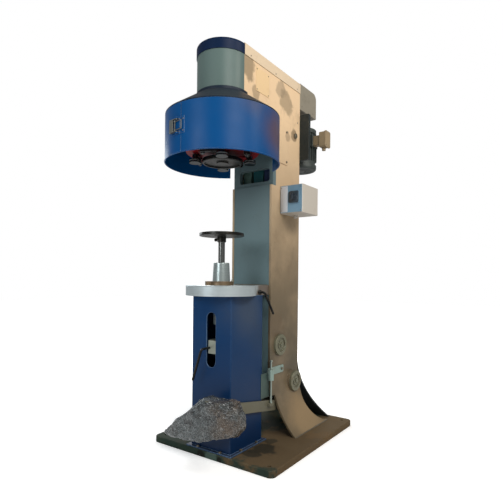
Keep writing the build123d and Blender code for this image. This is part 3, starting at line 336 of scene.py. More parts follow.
@dataclass(frozen=True)
class Enamel(Finish):
    """Sprayed enamel on steel plate, with runs, dirt, stains and worn edges; some finishes add painted light
    and shade: a darker low colour, lighter edges and patches.
    """

    dirt_colour: Colour
    bare_and_highlight: Colour = paint("96948e")
    rough: float = 0.4
    dirt: float = 0.5
    uneven: float = 0.1
    wear: float = 0.5
    dust: float = 0.25
    shine: float = 0.35
    painted_edge_highlight: float = 0.0
    bend: float = 0.0022
    low_colour: Optional[Colour] = None
    heights: tuple[float, float] = (0.0, 1.0)
    curve: float = 1.0
    patches: tuple[Patch, ...] = ()

    def make(self, shader: Shader) -> None:
        """Puts the finish's nodes into a new material."""
        broad = shader.cloud(3.5, 5.0)
        blotch = shader.cloud(11.0, 6.0, 0.62)
        fine = shader.cloud(85.0, 5.0, 0.6)
        colour: Any = self.colour
        # A low colour, where given, blends into the main colour higher up; on the side plates and the
        # pedestal this is painted shade, darker towards the bottom.
        if self.low_colour is not None:
            height = shader.axis("Z") + (broad - 0.5) * 0.18
            share = height.step(*self.heights, "LINEAR") ** self.curve
            colour = shader.mix(self.low_colour, self.colour, share)
        deeper = tuple(part * (1 - self.uneven * 2.2) for part in self.colour)
        colour = shader.mix(colour, deeper, broad.step(0.42, 0.75) * (self.uneven * 3.5))
        colour = shader.mix(colour, self.dirt_colour, blotch.step(0.52, 0.74) * (self.dirt * 0.5))
        colour = shader.stain(colour, self.patches, blotch, (1.5, 0.16, 0.42))
        specks = fine.step(0.63, 0.72) * blotch.step(0.45, 0.62)
        colour = shader.mix(colour, self.dirt_colour, specks * self.dirt)
        dusty = shader.facing_up() * (0.35 + broad * 0.8)
        colour = shader.mix(colour, paint("968e7c"), dusty * self.dust)
        rounded, rim = shader.edges(self.bend)
        # Painted highlight: the edges lightened towards the bare colour.
        if self.painted_edge_highlight > 0:
            colour = shader.mix(colour, self.bare_and_highlight, rim * self.painted_edge_highlight)
        worn = rim * (fine + blotch - 1.0).step(-0.08, 0.12) * self.wear
        colour = shader.mix(colour, self.bare_and_highlight, worn)
        peel = shader.cloud(330.0, 2.0)
        relief = peel * 0.35 + blotch * 0.9 + fine * 0.35 - worn * 1.4
        dull = worn * 0.15 + specks * 0.3 + dusty * (self.dust * 0.5)
        shader.feed(
            Base_Color=colour,
            Roughness=self.rough + (blotch - 0.45) * 0.28 + dull,
            Metallic=worn * 0.6,
            Specular_IOR_Level=self.shine,
            Normal=shader.bump(relief, 0.35, 0.0009, rounded),
        )


class Cut(Enum):
    """How a machined face was cut."""

    TURNED = "turned about the upright axis"
    ALONG_X = "ground along X"
    ALONG_Z = "drawn along Z"


@dataclass(frozen=True)
class Machined(Finish):
    """Bare machined steel with tool marks, stains and rust freckles."""

    cut: Cut
    rough: float
    stain: float
    metallic: float
    patches: tuple[Patch, ...] = ()

    def marks(self, shader: Shader) -> Value:
        """Fine lines that the tool left."""
        fine, coarse = 900.0, 14.0
        if self.cut is Cut.TURNED:
            across, along = shader.axis("X"), shader.axis("Y")
            radius = (across * across + along * along) ** 0.5
            inputs = {0: radius * fine, 1: shader.axis("Z") * fine}
            place = shader.node("CombineXYZ", {}, inputs)
        else:
            place = shader.stretch((coarse, fine, fine) if self.cut is Cut.ALONG_X else (fine, fine, coarse))
        return shader.cloud(1.0, 3.0, 0.6, place)

    def make(self, shader: Shader) -> None:
        """Puts the finish's nodes into a new material."""
        marks = self.marks(shader)
        blotch = shader.cloud(14.0, 6.0, 0.62)
        freckle = shader.cloud(210.0, 3.0, 0.6)
        darker = tuple(part * 0.55 for part in self.colour)
        colour = shader.mix(self.colour, darker, marks.step(0.4, 0.72) * 0.35)
        stained = blotch.step(0.5, 0.72) * self.stain
        colour = shader.mix(colour, paint("604c36"), stained)
        colour = shader.stain(colour, self.patches, blotch, (1.4, 0.12, 0.5))
        rust = freckle.step(0.64, 0.72) * blotch.step(0.44, 0.6) * self.stain
        colour = shader.mix(colour, paint("58321c"), rust)
        rounded, rim = shader.edges(0.0012)
        colour = shader.mix(colour, paint("cdd0cd"), rim * 0.5)
        shader.feed(
            Base_Color=colour,
            Roughness=self.rough + (marks - 0.5) * 0.25 + stained * 0.3 + rust * 0.35,
            Metallic=self.metallic - stained * 0.5 - rust * 0.6,
            Normal=shader.bump(marks + freckle * 0.5, 0.25, 0.0003, rounded),
        )


@dataclass(frozen=True)
class Casting(Finish):
    """Rough casting, bare or painted, with oil and dust in its grain."""

    rough: float = 0.6
    metallic: float = 0.1
    oil: float = 0.3
    grain: float = 1.0

    def make(self, shader: Shader) -> None:
        """Puts the finish's nodes into a new material."""
        sand = shader.cloud(420.0, 3.0, 0.65)
        pits = shader.cells(260.0)
        blotch = shader.cloud(18.0, 6.0, 0.6)
        darker = tuple(part * 0.45 for part in self.colour)
        lighter = tuple(min(1.0, part * 1.5 + 0.02) for part in self.colour)
        colour = shader.mix(self.colour, darker, blotch.step(0.45, 0.7) * (0.4 + self.oil * 0.6))
        rounded, rim = shader.edges(0.0018)
        colour = shader.mix(colour, lighter, rim * sand.step(0.35, 0.6) * 0.7)
        colour = shader.mix(colour, paint("8c806c"), shader.facing_up() * blotch * 0.5)
        shader.feed(
            Base_Color=colour,
            Roughness=self.rough - blotch.step(0.5, 0.72) * (0.35 * self.oil) + (sand - 0.5) * 0.25,
            Metallic=self.metallic + rim * 0.3,
            Normal=shader.bump(sand * 0.7 + pits * 0.5, 0.45 * self.grain, 0.0008, rounded),
        )


@dataclass(frozen=True)
class Plastic(Finish):
    """Moulded plastic or rubber with a fine skin and handling marks."""

    rough: float = 0.45
    skin: float = 480.0
    rub: Colour = paint("787a7a")

    def make(self, shader: Shader) -> None:
        """Puts the finish's nodes into a new material."""
        skin = shader.cloud(self.skin, 2.0)
        smear = shader.cloud(26.0, 5.0, 0.6)
        rounded, rim = shader.edges(0.0010)
        colour = shader.mix(self.colour, self.rub, smear.step(0.5, 0.78) * 0.18)
        colour = shader.mix(colour, self.rub, rim * smear.step(0.4, 0.6) * 0.35)
        shader.feed(
            Base_Color=colour,
            Roughness=self.rough + (smear - 0.5) * 0.35,
            Normal=shader.bump(skin, 0.2, 0.0003, rounded),
        )


@dataclass(frozen=True)
class CreasedFilm(Finish):
    """Packing film: see-through grey with sharp creases, painted highlights along them, painted white glints
    and painted warm light on its +X side.
    """

    painted_warm_light: Colour
    dark: Colour

    def make(self, shader: Shader) -> None:
        """Puts the finish's nodes into a new material."""
        broad = shader.cloud(9.0, 5.0, 0.6)
        bent = self.bent(shader, 7.0, 0.05)
        long = self.ridge(shader, bent, (14.0, 14.0, 42.0))
        cross = self.ridge(shader, bent, (52.0, 52.0, 18.0))
        small = self.ridge(shader, self.bent(shader, 20.0, 0.02), (70.0, 70.0, 48.0))
        grit = shader.cloud(150.0, 4.0, 0.7)
        # Painted warm light on the +X side.
        colour = shader.mix(self.colour, self.painted_warm_light, shader.axis("X").step(0.02, 0.2) * broad.step(0.36, 0.6))
        dark = shader.cloud(30.0, 6.0, 0.72, bent).step(0.49, 0.58)
        colour = shader.mix(colour, self.dark, dark * 0.9)
        crease = (long.step(0.84, 1.0) * 0.8 + cross.step(0.86, 1.0) * 0.7) * grit.step(0.40, 0.56)
        # Painted highlight along the crease crests.
        colour = shader.mix(colour, paint("aab0b2"), crease * 0.42)
        # Painted glints: small white specks.
        painted_glint = grit.step(0.63, 0.70) * broad.step(0.40, 0.55)
        colour = shader.mix(colour, paint("e1e2e2"), painted_glint * 0.8)
        relief = long + cross * 0.8 + small * 0.5 + grit * 0.3
        shader.feed(
            Base_Color=colour,
            Roughness=0.14 + grit * 0.2,
            Coat_Weight=0.5 + broad * 0.5,
            Coat_Roughness=0.08,
            Alpha=0.78 + dark * 0.18 + crease * 0.2,
            Normal=shader.bump(relief, 1.0, 0.006),
        )

    def ridge(self, shader: Shader, place: Value, scale: Point) -> Value:
        """Sharp wandering ridges, 1 on their crest.

        Args:
            shader: The material's tree.
            place: Where they are read.
            scale: Ridges per metre along each axis.

        Returns:
            The height of the ridges.
        """
        return 1.0 - abs(shader.cloud(1.0, 3.0, 0.5, shader.stretch(scale, place)) - 0.5) * 5.0

    def bent(self, shader: Shader, scale: float, reach: float) -> Value:
        """The place on the object, shifted about by noise so that folds aren't straight."""
        inputs = {"Vector": shader.place, "Scale": scale, "Detail": 3.0}
        shift = shader.node("TexNoise", {}, inputs, "Color")
        far = shader.node("VectorMath", {"operation": "SCALE"}, {0: shift, "Scale": reach})
        return shader.node("VectorMath", {"operation": "ADD"}, {0: shader.place, 1: far})


# Enamels start with name, colour, colour of dirt and colour of bare steel, which also colours their painted
# edge highlight.
# Machined steels are name, colour, cut, roughness, stain and metallic share.
OIL = paint("1a1b16")

# Painted light: the side plates' cream is the column's grey paint with warm light painted in, and the blend
# to the dark low colour further down is painted light falling off.
SIDE_PAINTED_LIGHT = Enamel(
    "side_plate_enamel", paint("e2c5a0"), paint("604e3a"), rough=0.42, dirt=0.4, uneven=0.06,
    wear=0.45, low_colour=paint("544c3c"), heights=(0.25, 1.72), curve=2.1,
    patches=(
        Patch((0.13, 0.03, 1.9), 0.085, paint("807058"), 0.75),
        Patch((0.13, 0.1, 1.8), 0.05, paint("8c7a60"), 0.6),
        Patch((0.13, 0.33, 1.9), 0.07, paint("9e8c74"), 0.65),
        Patch((0.13, 0.385, 1.845), 0.09, paint("8c7c64"), 0.65),
        Patch((0.13, 0.4, 1.66), 0.045, paint("96826a"), 0.6),
        Patch((0.13, 0.49, 1.69), 0.045, paint("74624c"), 0.7),
        # Painted light where the flared feet catch it.
        Patch((0.23, 0.5, 0.08), 0.3, paint("947e5e"), 1.0, 0.4, 0.4),
        Patch((-0.23, 0.5, 0.08), 0.3, paint("947e5e"), 1.0, 0.4, 0.4),
        Patch((0.13, 0.3, 0.62), 0.1, paint("685642"), 0.35),
    ),
)
FRONT_GREY = Enamel(
    "front_plate_enamel", paint("5e7276"), paint("464a42"), paint("a8aaa0"), dirt=0.2,
    uneven=0.07, wear=0.35, low_colour=paint("5c747a"), heights=(0.4, 1.4),
)
CASING_GREY = Enamel(
    "casing_enamel", paint("5a6c69"), paint("4a4c42"), paint("aaa696"), rough=0.36, dirt=0.16,
    uneven=0.06, wear=0.3, shine=0.2,
)
# Painted reflection: both patches are warm light reflected on the guard's right side; the edge setting paints
# a highlight along the edges.
GUARD_BLUE = Enamel(
    "guard_enamel", paint("00467e"), paint("1a2c42"), paint("8c9eb0"), rough=0.36, dirt=0.16,
    wear=0.55, dust=0.1, shine=0.14, painted_edge_highlight=0.3,
    patches=(
        Patch((0.278, 0.07, 1.56), 0.22, paint("544450"), 0.9, 0.25, 0.5),
        Patch((0.262, -0.1, 1.66), 0.12, paint("46465c"), 0.5, 0.25, 0.5),
    ),
)
# Painted light on the pedestal: the edge setting and the light blue bare colour paint a highlight line along
# its corners, so its edge wear is partly real wear and partly painted highlight; the low colour makes it
# darker towards the bottom as painted shade; both patches are painted sheen on its right face.
PEDESTAL_BLUE = Enamel(
    "pedestal_enamel", paint("083662"), paint("182232"), paint("809ebe"), rough=0.34, dirt=0.22,
    wear=0.6, dust=0.1, shine=0.2, painted_edge_highlight=0.6, bend=0.005, low_colour=paint("08264a"), heights=(0.05, 0.75),
    patches=(
        Patch((0.12, 0.06, 0.72), 0.26, paint("424c5a"), 0.7, 0.2, 0.5),
        Patch((0.12, 0.16, 0.56), 0.16, paint("2c3c50"), 0.4, 0.2, 0.5),
    ),
)
HOOD_NAVY = Enamel(
    "hood_enamel", paint("1a2634"), paint("3c3830"), paint("6e6c64"), rough=0.42, dirt=0.25,
    uneven=0.12, wear=0.35, dust=0.05, shine=0.15,
)
CAP_NAVY = Enamel(
    "cap_enamel", paint("081e3c"), paint("161e2a"), paint("6e7a86"), dirt=0.2, wear=0.4, dust=0.03,
    shine=0.12,
)
# Painted light: the lid's cream is its grey paint with warm light painted in.
LID_PAINTED_LIGHT = Enamel(
    "lid_enamel", paint("d8c4a8"), paint("786650"), paint("8c8476"), dirt=0.4, uneven=0.06,
    dust=0.2,
)
CARRIER_RED = Enamel(
    "carrier_enamel", paint("80181e"), paint("321616"), paint("827c76"), dirt=0.45, uneven=0.12,
)
BASE_GREEN = Enamel(
    "base_enamel", paint("2a3830"), paint("68563e"), paint("788476"), rough=0.66, dirt=0.9,
    uneven=0.16, wear=0.55, dust=0.08, shine=0.12,
    patches=(
        # Painted warm light: the first two patches, brown on the right of the plate.
        Patch((0.32, 0.2, 0.03), 0.4, paint("604c34"), 0.8),
        Patch((0.34, 0.62, 0.03), 0.34, paint("645036"), 0.8),
        Patch((0.2, 0.1, 0.03), 0.09, OIL, 0.85),
        Patch((0.19, 0.02, 0.03), 0.06, OIL, 0.8),
        Patch((0.17, 0.2, 0.03), 0.05, OIL, 0.7),
        Patch((-0.04, -0.095, 0.01), 0.035, OIL, 0.9),
        Patch((0.075, -0.095, 0.01), 0.018, OIL, 0.9),
        Patch((0.02, -0.095, 0.01), 0.05, paint("5c7068"), 0.5),
    ),
)
# Painted shade: the rear plate is the column's paint darkened as if in shadow.
REAR_PAINTED_SHADE = Enamel(
    "rear_plate_enamel", paint("282c2e"), paint("4a4234"), paint("706a5e"), rough=0.5, dirt=0.6,
    uneven=0.12,
)
MOTOR_PLATE_DARK = Enamel(
    "motor_plate_enamel", paint("1c2628"), paint("464236"), paint("787466"), rough=0.42,
    uneven=0.12, wear=0.6,
)
GUARD_TAN = Enamel(
    "belt_guard_enamel", paint("8a8476"), paint("565042"), paint("a09c92"), rough=0.34,
    dirt=0.4,
)
BOX_TAN = Enamel("terminal_box_enamel", paint("968468"), paint("504636"), rough=0.45)
BAR_GREY = Enamel(
    "treadle_enamel", paint("686656"), paint("4e4232"), paint("8c8678"), rough=0.42, wear=0.6,
)
STARTER_WHITE = Enamel(
    "starter_enamel", paint("bcb6ac"), paint("8c7464"), paint("787068"), dirt=0.3,
    uneven=0.05, wear=0.35,
)
LINK_DARK = Enamel(
    "link_enamel", paint("2c2e2e"), paint("40382c"), paint("78746c"), rough=0.45, wear=0.6,
)
TABLE_STEEL = Machined(
    "table_steel", paint("c4d0d4"), Cut.TURNED, 0.36, 0.12, 0.62,
    patches=(
        Patch((0.1, 0.22, 0.81), 0.12, paint("705842"), 0.8),
        Patch((-0.02, 0.22, 0.833), 0.13, paint("685440"), 0.7),
    ),
)
SLEEVE_STEEL = Machined("sleeve_steel", paint("a6b2b2"), Cut.TURNED, 0.3, 0.12, 0.75)
RING_STEEL = Machined("ring_steel", paint("7c6a54"), Cut.TURNED, 0.42, 0.8, 0.7)
LIFT_STEEL = Machined("lift_shaft_steel", paint("787a78"), Cut.ALONG_Z, 0.2, 0.3, 0.9)
LATCH_STEEL = Machined("latch_steel", paint("707472"), Cut.ALONG_Z, 0.46, 0.5, 0.6)
TIE_GREY = Enamel("tie_enamel", paint("485a56"), paint("34362e"), rough=0.45, dirt=0.4)
# Painted light: the window rails' colours are lightened to stand in for light that doesn't reach inside the
# column.
WINDOW_GREY = Enamel(
    "window_grey_enamel", paint("5c7870"), paint("1e221e"), rough=0.5, dirt=0.4, wear=0.4,
)
WINDOW_TEAL = Enamel(
    "window_teal_enamel", paint("286268"), paint("0e1618"), rough=0.45, dirt=0.3, wear=0.4,
)
WINDOW_NAVY = Enamel(
    "window_navy_enamel", paint("283a5e"), paint("0c0e14"), rough=0.45, dirt=0.3, wear=0.4,
)
SHAFT_CHROME = Machined("shaft_steel", paint("cdd0ce"), Cut.ALONG_Z, 0.14, 0.15, 1.0)
DISC_STEEL = Machined("disc_steel", paint("2e2e2c"), Cut.TURNED, 0.32, 0.35, 0.85)
ROLL_STEEL = Machined("roll_steel", paint("4a4e50"), Cut.ALONG_Z, 0.12, 0.2, 1.0)
CHUCK_STEEL = Machined("chuck_steel", paint("363736"), Cut.TURNED, 0.3, 0.25, 0.9)
CAM_STEEL = Machined("cam_steel", paint("969692"), Cut.TURNED, 0.3, 0.3, 0.85)
COLLAR_STEEL = Machined("collar_steel", paint("a6aca0"), Cut.ALONG_Z, 0.42, 0.4, 0.7)
CAP_STEEL = Machined("pivot_steel", paint("80806c"), Cut.ALONG_X, 0.45, 0.5, 0.55)
GUIDE_STEEL = Machined("guide_steel", paint("96aca4"), Cut.ALONG_Z, 0.4, 0.35, 0.5)
ROD_STEEL = Machined("rod_steel", paint("9eaaa2"), Cut.ALONG_Z, 0.3, 0.3, 0.8)
BLACK_OXIDE = Machined("handle_steel", paint("161819"), Cut.ALONG_Z, 0.35, 0.2, 0.6)
ZINC = Machined("zinc_plate", paint("b0b0a6"), Cut.ALONG_X, 0.36, 0.3, 0.8)
BOLT_ZINC = Machined("bolt_zinc", paint("807a6c"), Cut.ALONG_X, 0.42, 0.6, 0.7)
PLATE_BLANK = Enamel(
    "data_plate_enamel", paint("e2c498"), paint("967854"), paint("c8bea0"), dirt=0.3,
    uneven=0.06, wear=0.3,
)
CAST_IRON = Casting("cast_iron", paint("484c4a"), rough=0.55, metallic=0.4, oil=0.6)
LEVER_IRON = Casting("lever_iron", paint("282426"), rough=0.42, metallic=0.5, oil=0.9)
MOTOR_IRON = Casting("motor_iron", paint("3a4240"), rough=0.5, metallic=0.1, oil=0.4)
BELT_RUBBER = Plastic("belt_rubber", paint("1a1a1a"), 0.75, 300.0, paint("464644"))
PANEL_BLUE = Plastic("starter_panel", paint("688aa0"), 0.4, 500.0, paint("96aab6"))
STRIP_WHITE = Plastic("starter_strip", paint("bec2c8"), 0.42, 500.0, paint("8c8c8e"))
KNOB_BLACK = Plastic("knob_black", paint("222c36"), 0.35, 600.0, paint("5a6066"))
BEZEL_BLACK = Plastic("bezel_black", paint("2c3a44"), 0.4, 600.0, paint("606c74"))
# Its second colour is painted warm light for the +X side.
BAG_FILM = CreasedFilm("bag_film", paint("4e5658"), paint("5c4c3c"), paint("0c0d0f"))
WELD_METAL = Casting("weld_metal", paint("605a4c"), rough=0.5, metallic=0.3, oil=0.3, grain=0.6)


def new_piece(name: str, mesh: BMesh, finish: Finish, body: str,
              smooth: bool = True) -> bpy.types.Object:
    """Turns a finished bmesh into an object that rides on a body.

    Args:
        name: The piece's name.
        mesh: Its shape, in the row frame.
        finish: What it is finished in.
        body: The body it moves with.
        smooth: Whether its faces are shaded smooth.

    Returns:
        The new object.
    """
    bmesh.ops.recalc_face_normals(mesh, faces=mesh.faces)
    for face in mesh.faces:
        face.smooth = smooth
    data = bpy.data.meshes.new(name)
    mesh.to_mesh(data)
    mesh.free()
    data.materials.append(finish.material())
    made = bpy.data.objects.new(name, data)
    bpy.context.collection.objects.link(made)
    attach(made, body)
    LOG.info("piece %s on %s in %s", name, body, finish.name)
    return made


def bridge(mesh: BMesh, rings: Sequence[Sequence[bmesh.types.BMVert]], capped: bool = False) -> None:
    """Joins closed rings of points with faces, one ring to the next.

    Args:
        mesh: Where they are.
        rings: The rings in order. A ring that is one point over and over makes a pole.
        capped: Whether the first and the last ring are closed too.
    """
    for lower, upper in zip(rings, rings[1:]):
        for step in range(len(lower)):
            after = (step + 1) % len(lower)
            quad = list(dict.fromkeys((lower[step], lower[after], upper[after], upper[step])))
            if len(quad) > 2:
                mesh.faces.new(quad)
    if capped:
        mesh.faces.new(rings[0])
        mesh.faces.new(list(reversed(rings[-1])))


def spokes(steps: int) -> list[tuple[float, float]]:
    """Cosine and sine of evenly spaced turns round a circle."""
    turns = (2 * math.pi * step / steps for step in range(steps))
    return [(math.cos(turn), math.sin(turn)) for turn in turns]


def turned(mesh: BMesh, profile: Iterable[tuple[float, float]], place: Matrix, steps: int = 40) -> None:
    """Adds a turned shape.

    Args:
        mesh: Where it goes.
        profile: Radius and height of each line round it.
        place: Where its axis stands.
        steps: Number of faces round it.
    """
    rings = []
    for radius, height in profile:
        if radius == 0:
            rings.append([mesh.verts.new(place @ Vector((0, 0, height)))] * steps)
        else:
            points = (place @ Vector((radius * x, radius * y, height)) for x, y in spokes(steps))
            rings.append([mesh.verts.new(point) for point in points])
    bridge(mesh, rings)


def towards(point: Point, direction: Point) -> Matrix:
    """A place at a point whose Z looks in a direction."""
    turn = Vector((0, 0, 1)).rotation_difference(Vector(direction).normalized()).to_matrix().to_4x4()
    return Matrix.Translation(Vector(point)) @ turn


def slotted_screw(mesh: BMesh, radius: float, place: Matrix, spin: float = 0.0) -> None:
    """Adds a round screw head with a driver slot.

    Args:
        mesh: Where it goes.
        radius: Its radius.
        place: Where it sits, with Z out of the face.
        spin: How far its slot is turned, in radians.
    """
    half = (0.12, 0.15, 0.35, 0.6, 0.85, 1.0)
    lines = (*(-line for line in reversed(half)), 0.0, *half)
    slot = 0.13
    turn = place @ Matrix.Rotation(spin, 4, "Z")
    grid = []
    for across in lines:
        row = []
        for along in lines:
            x = across * math.sqrt(max(0.0, 1 - along * along / 2))
            y = along * math.sqrt(max(0.0, 1 - across * across / 2))
            far = min(1.0, math.hypot(x, y))
            height = radius * (0.12 + 0.5 * math.sqrt(max(0.0, 1 - far ** 2.4)))
            if abs(across) < slot:
                height -= radius * 0.26
            row.append(mesh.verts.new(turn @ Vector((x * radius, y * radius, max(height, 0.0002)))))
        grid.append(row)
    for first, second in zip(grid, grid[1:]):
        for index in range(len(lines) - 1):
            mesh.faces.new((first[index], second[index], second[index + 1], first[index + 1]))


def bead(mesh: BMesh, path: Sequence[Vector], width: float, up: Vector) -> None:
    """Adds a rippled weld bead along a line.

    Args:
        mesh: Where it goes.
        path: Points along its middle.
        width: Half its width.
        up: The way it bulges.
    """
    spacing = 0.0022
    points: list[Vector] = []
    for start, end in zip(path, path[1:]):
        count = max(2, int((end - start).length / spacing))
        points += [start.lerp(end, step / count) for step in range(count)]
    points.append(path[-1])
    rings = []
    for index, point in enumerate(points):
        ahead = points[min(index + 1, len(points) - 1)] - points[max(index - 1, 0)]
        side = ahead.cross(up).normalized()
        swell = 1 + 0.16 * math.sin(index * 1.35) + 0.35 * noise.noise(point * 70)
        taper = min(1.0, 0.3 + index / 5, 0.3 + (len(points) - 1 - index) / 5)
        ring = []
        for step in range(7):
            turn = math.pi * step / 6
            away = side * math.cos(turn) * width * swell * taper
            rise = up * math.sin(turn) * width * 0.7 * swell * taper
            ring.append(mesh.verts.new(point + away + rise - up * width * 0.15))
        rings.append(ring)
    bridge(mesh, rings, capped=True)


def rod(mesh: BMesh, path: Sequence[Vector], radius: float, steps: int = 16) -> None:
    """Adds a round rod along a line, with rounded ends.

    Args:
        mesh: Where it goes.
        path: Points along its middle.
        radius: Its radius.
        steps: Number of faces round it.
    """
    rings = []
    last = len(path) - 1
    for index, point in enumerate(path):
        ahead = (path[min(index + 1, last)] - path[max(index - 1, 0)]).normalized()
        side = ahead.orthogonal().normalized()
        other = ahead.cross(side)
        reaches = [(0.0, 1.0)]
        if index == 0:
            reaches = [(-0.9, 0.35), (-0.5, 0.8), (0.0, 1.0)]
        elif index == last:
            reaches = [(0.0, 1.0), (0.5, 0.8), (0.9, 0.35)]
        for shift, share in reaches:
            middle = point + ahead * shift * radius
            reach = radius * share
            rings.append([mesh.verts.new(middle + (side * x + other * y) * reach) for x, y in spokes(steps)])
    bridge(mesh, rings, capped=True)


def screws(name: str, heads: Iterable[tuple[float, Matrix, float]], body: str = "frame") -> None:
    """Builds a piece that is a set of slotted screws.

    Args:
        name: The piece's name.
        heads: Radius, place and spin of each screw.
        body: The body they move with.
    """
    mesh = bmesh.new()
    for radius, place, spin in heads:
        slotted_screw(mesh, radius, place, spin)
    new_piece(name, mesh, BOLT_ZINC, body)


class Assembly:
    """A sub-assembly of the seamer: the finishes of its nodes, and its small pieces."""

    finishes: dict[str, Finish]

    def __init__(self, frame: dict[str, Any]) -> None:
        """Keeps the loaded frame."""
        self.frame = frame

    def dress(self) -> None:
        """Puts the finishes on the nodes."""
        for node, finish in self.finishes.items():
            held = self.frame["nodes"][node]
            if not held.material_slots:
                raise RuntimeError(f"{node} has no material slot")
            for slot in held.material_slots:
                slot.material = finish.material()
            LOG.info("node %s in %s", node, finish.name)

    def pieces(self) -> None:
        """Builds the small pieces."""
        raise NotImplementedError

    def build(self) -> None:
        """Dresses the nodes and builds the pieces."""
        self.dress()
        self.pieces()


class Column(Assembly):
    """Floor plate, column and arm."""

    half_width: float = 0.130
    front: float = 0.2545
    foot_height: float = 0.032
    flare_top: float = 0.370
    flare_radius: float = 0.520
    weld: float = 0.005
    rail_depth: float = 0.016
    rail_sheet: float = 0.003
    rail_foot: float = 1.372
    rail_head: float = 1.50
    finishes = {
        "base_plate": BASE_GREEN,
        "right_side_plate": SIDE_PAINTED_LIGHT,
        "left_side_plate": SIDE_PAINTED_LIGHT,
        "lower_front_plate": FRONT_GREY,
        "upper_front_plate": FRONT_GREY,
        "rear_plate": REAR_PAINTED_SHADE,
        "arm_lid": LID_PAINTED_LIGHT,
        "data_plate": PLATE_BLANK,
        "pivot_shafts": CAP_STEEL,
        "frame_bolts": BOLT_ZINC,
    }

    def foot_x(self, height: float) -> float:
        """Outer face of the side plate's flare at a height."""
        below = max(0.0, self.flare_top - height)
        return self.half_width + self.flare_radius - math.sqrt(self.flare_radius ** 2 - below ** 2)

    def pieces(self) -> None:
        """Welds, screws and what shows in the window."""
        self.welds()
        self.plate_screws()
        self.window_rails()
        self.tie_plate()

    def welds(self) -> None:
        """Welds along the feet and down the corners of the column."""
        mesh = bmesh.new()
        for side in (-1, 1):
            reach = side * (self.foot_x(self.foot_height) + 0.001)
            line = [Vector((reach, y, self.foot_height)) for y in (0.318, 0.44, 0.56, 0.66, 0.694)]
            bead(mesh, line, self.weld, Vector((side * 0.5, 0, 0.85)))
            line = [Vector((side * 0.1175, self.front, z)) for z in (0.262, 0.44)]
            bead(mesh, line, 0.0022, Vector((0, -1, 0)))
            line = [Vector((side * 0.117, self.front, z)) for z in (0.785, 0.831)]
            bead(mesh, line, 0.0035, Vector((side * 0.7, -0.7, 0)))
        line = [Vector((x, self.front, 0.834)) for x in (-0.112, 0.0, 0.112)]
        bead(mesh, line, 0.0035, Vector((0, -0.7, 0.7)))
        new_piece("column_welds", mesh, WELD_METAL, "frame")

    def plate_screws(self) -> None:
        """Screws in the corners of the blank plate and along the lid."""
        out = (1.0, 0.0, 0.0)
        corners_of_plate = ((0.107, 1.820), (0.210, 1.820), (0.107, 1.921), (0.210, 1.921))
        heads = [(0.0034, towards((self.half_width + 0.0015, y, z), out), 0.7 * index)
                 for index, (y, z) in enumerate(corners_of_plate)]
        heads += [(0.0036, towards((side * 0.1333, y, 1.962), (side, 0, 0)), y * 9)
                  for side in (-1, 1) for y in (0.05, 0.28, 0.51)]
        heads.append((0.0042, towards((self.half_width, 0.5235, 1.7716), out), 0.4))
        screws("plate_screws", heads)

    def window_rails(self) -> None:
        """Three folded rails that stand upright behind the window."""
        rails = (("grey", -0.106, -0.050, 0.320, WINDOW_GREY), ("teal", -0.040, 0.026, 0.328, WINDOW_TEAL),
                 ("navy", 0.040, 0.106, 0.318, WINDOW_NAVY))
        for name, left, right, y, finish in rails:
            mesh = bmesh.new()
            inner = right - self.rail_sheet
            outline = [(left, y), (right, y), (right, y + self.rail_depth), (inner, y + self.rail_depth),
                       (inner, y + self.rail_sheet), (left, y + self.rail_sheet)]
            bridge(mesh, [[mesh.verts.new(Vector((*spot, height))) for spot in outline]
                          for height in (self.rail_foot, self.rail_head)], capped=True)
            new_piece(f"window_rail_{name}", mesh, finish, "frame", smooth=False)

    def tie_plate(self) -> None:
        """Thin plate that ties the pedestal's side to the column."""
        mesh = bmesh.new()
        bmesh.ops.create_cube(mesh, size=1.0)
        bmesh.ops.scale(mesh, vec=Vector((0.0024, 0.075, 0.127)), verts=mesh.verts)
        bmesh.ops.translate(mesh, vec=Vector((0.1242, 0.2155, 0.3085)), verts=mesh.verts)
        new_piece("tie_plate", mesh, TIE_GREY, "frame", smooth=False)


class Head(Assembly):
    """Nose, hood and round guard with its door and latch."""

    guard_radius: float = 0.283
    latch_height: float = 1.553
    finishes = {
        "head_casing": CASING_GREY,
        "head_cap": CAP_NAVY,
        "guard_cone": HOOD_NAVY,
        "guard_fixed_half": GUARD_BLUE,
        "guard_door": GUARD_BLUE,
        "hinge_leaf": SIDE_PAINTED_LIGHT,
        "latch_lever": LATCH_STEEL,
        "latch_loop": LATCH_STEEL,
        "bearing_housing": CAST_IRON,
    }

    def on_guard(self, angle: float, height: float) -> Matrix:
        """A place just off the guard's outside, at an angle in degrees and a height."""
        turn = math.radians(angle)
        out = (math.cos(turn), math.sin(turn), 0.0)
        reach = self.guard_radius + 0.002
        return towards((out[0] * reach, out[1] * reach, height), out)

    def pieces(self) -> None:
        """Screws of the latch, its hook and the hinge leaf."""
        rows = (("latch_screws", "frame", -94.2, 0.028, 0.0030, 40),
                ("hook_screws", "door", -89.2, 0.026, 0.0034, 70))
        for name, body, angle, spread, radius, spin in rows:
            heights = (self.latch_height - spread, self.latch_height + spread)
            screws(name, [(radius, self.on_guard(angle, height), height * spin) for height in heights], body)
        screws("leaf_screws", [(0.0050, towards((0.134, 0.296, height), (1, 0, 0)), height * 55)
                               for height in (1.530, 1.600, 1.670)])


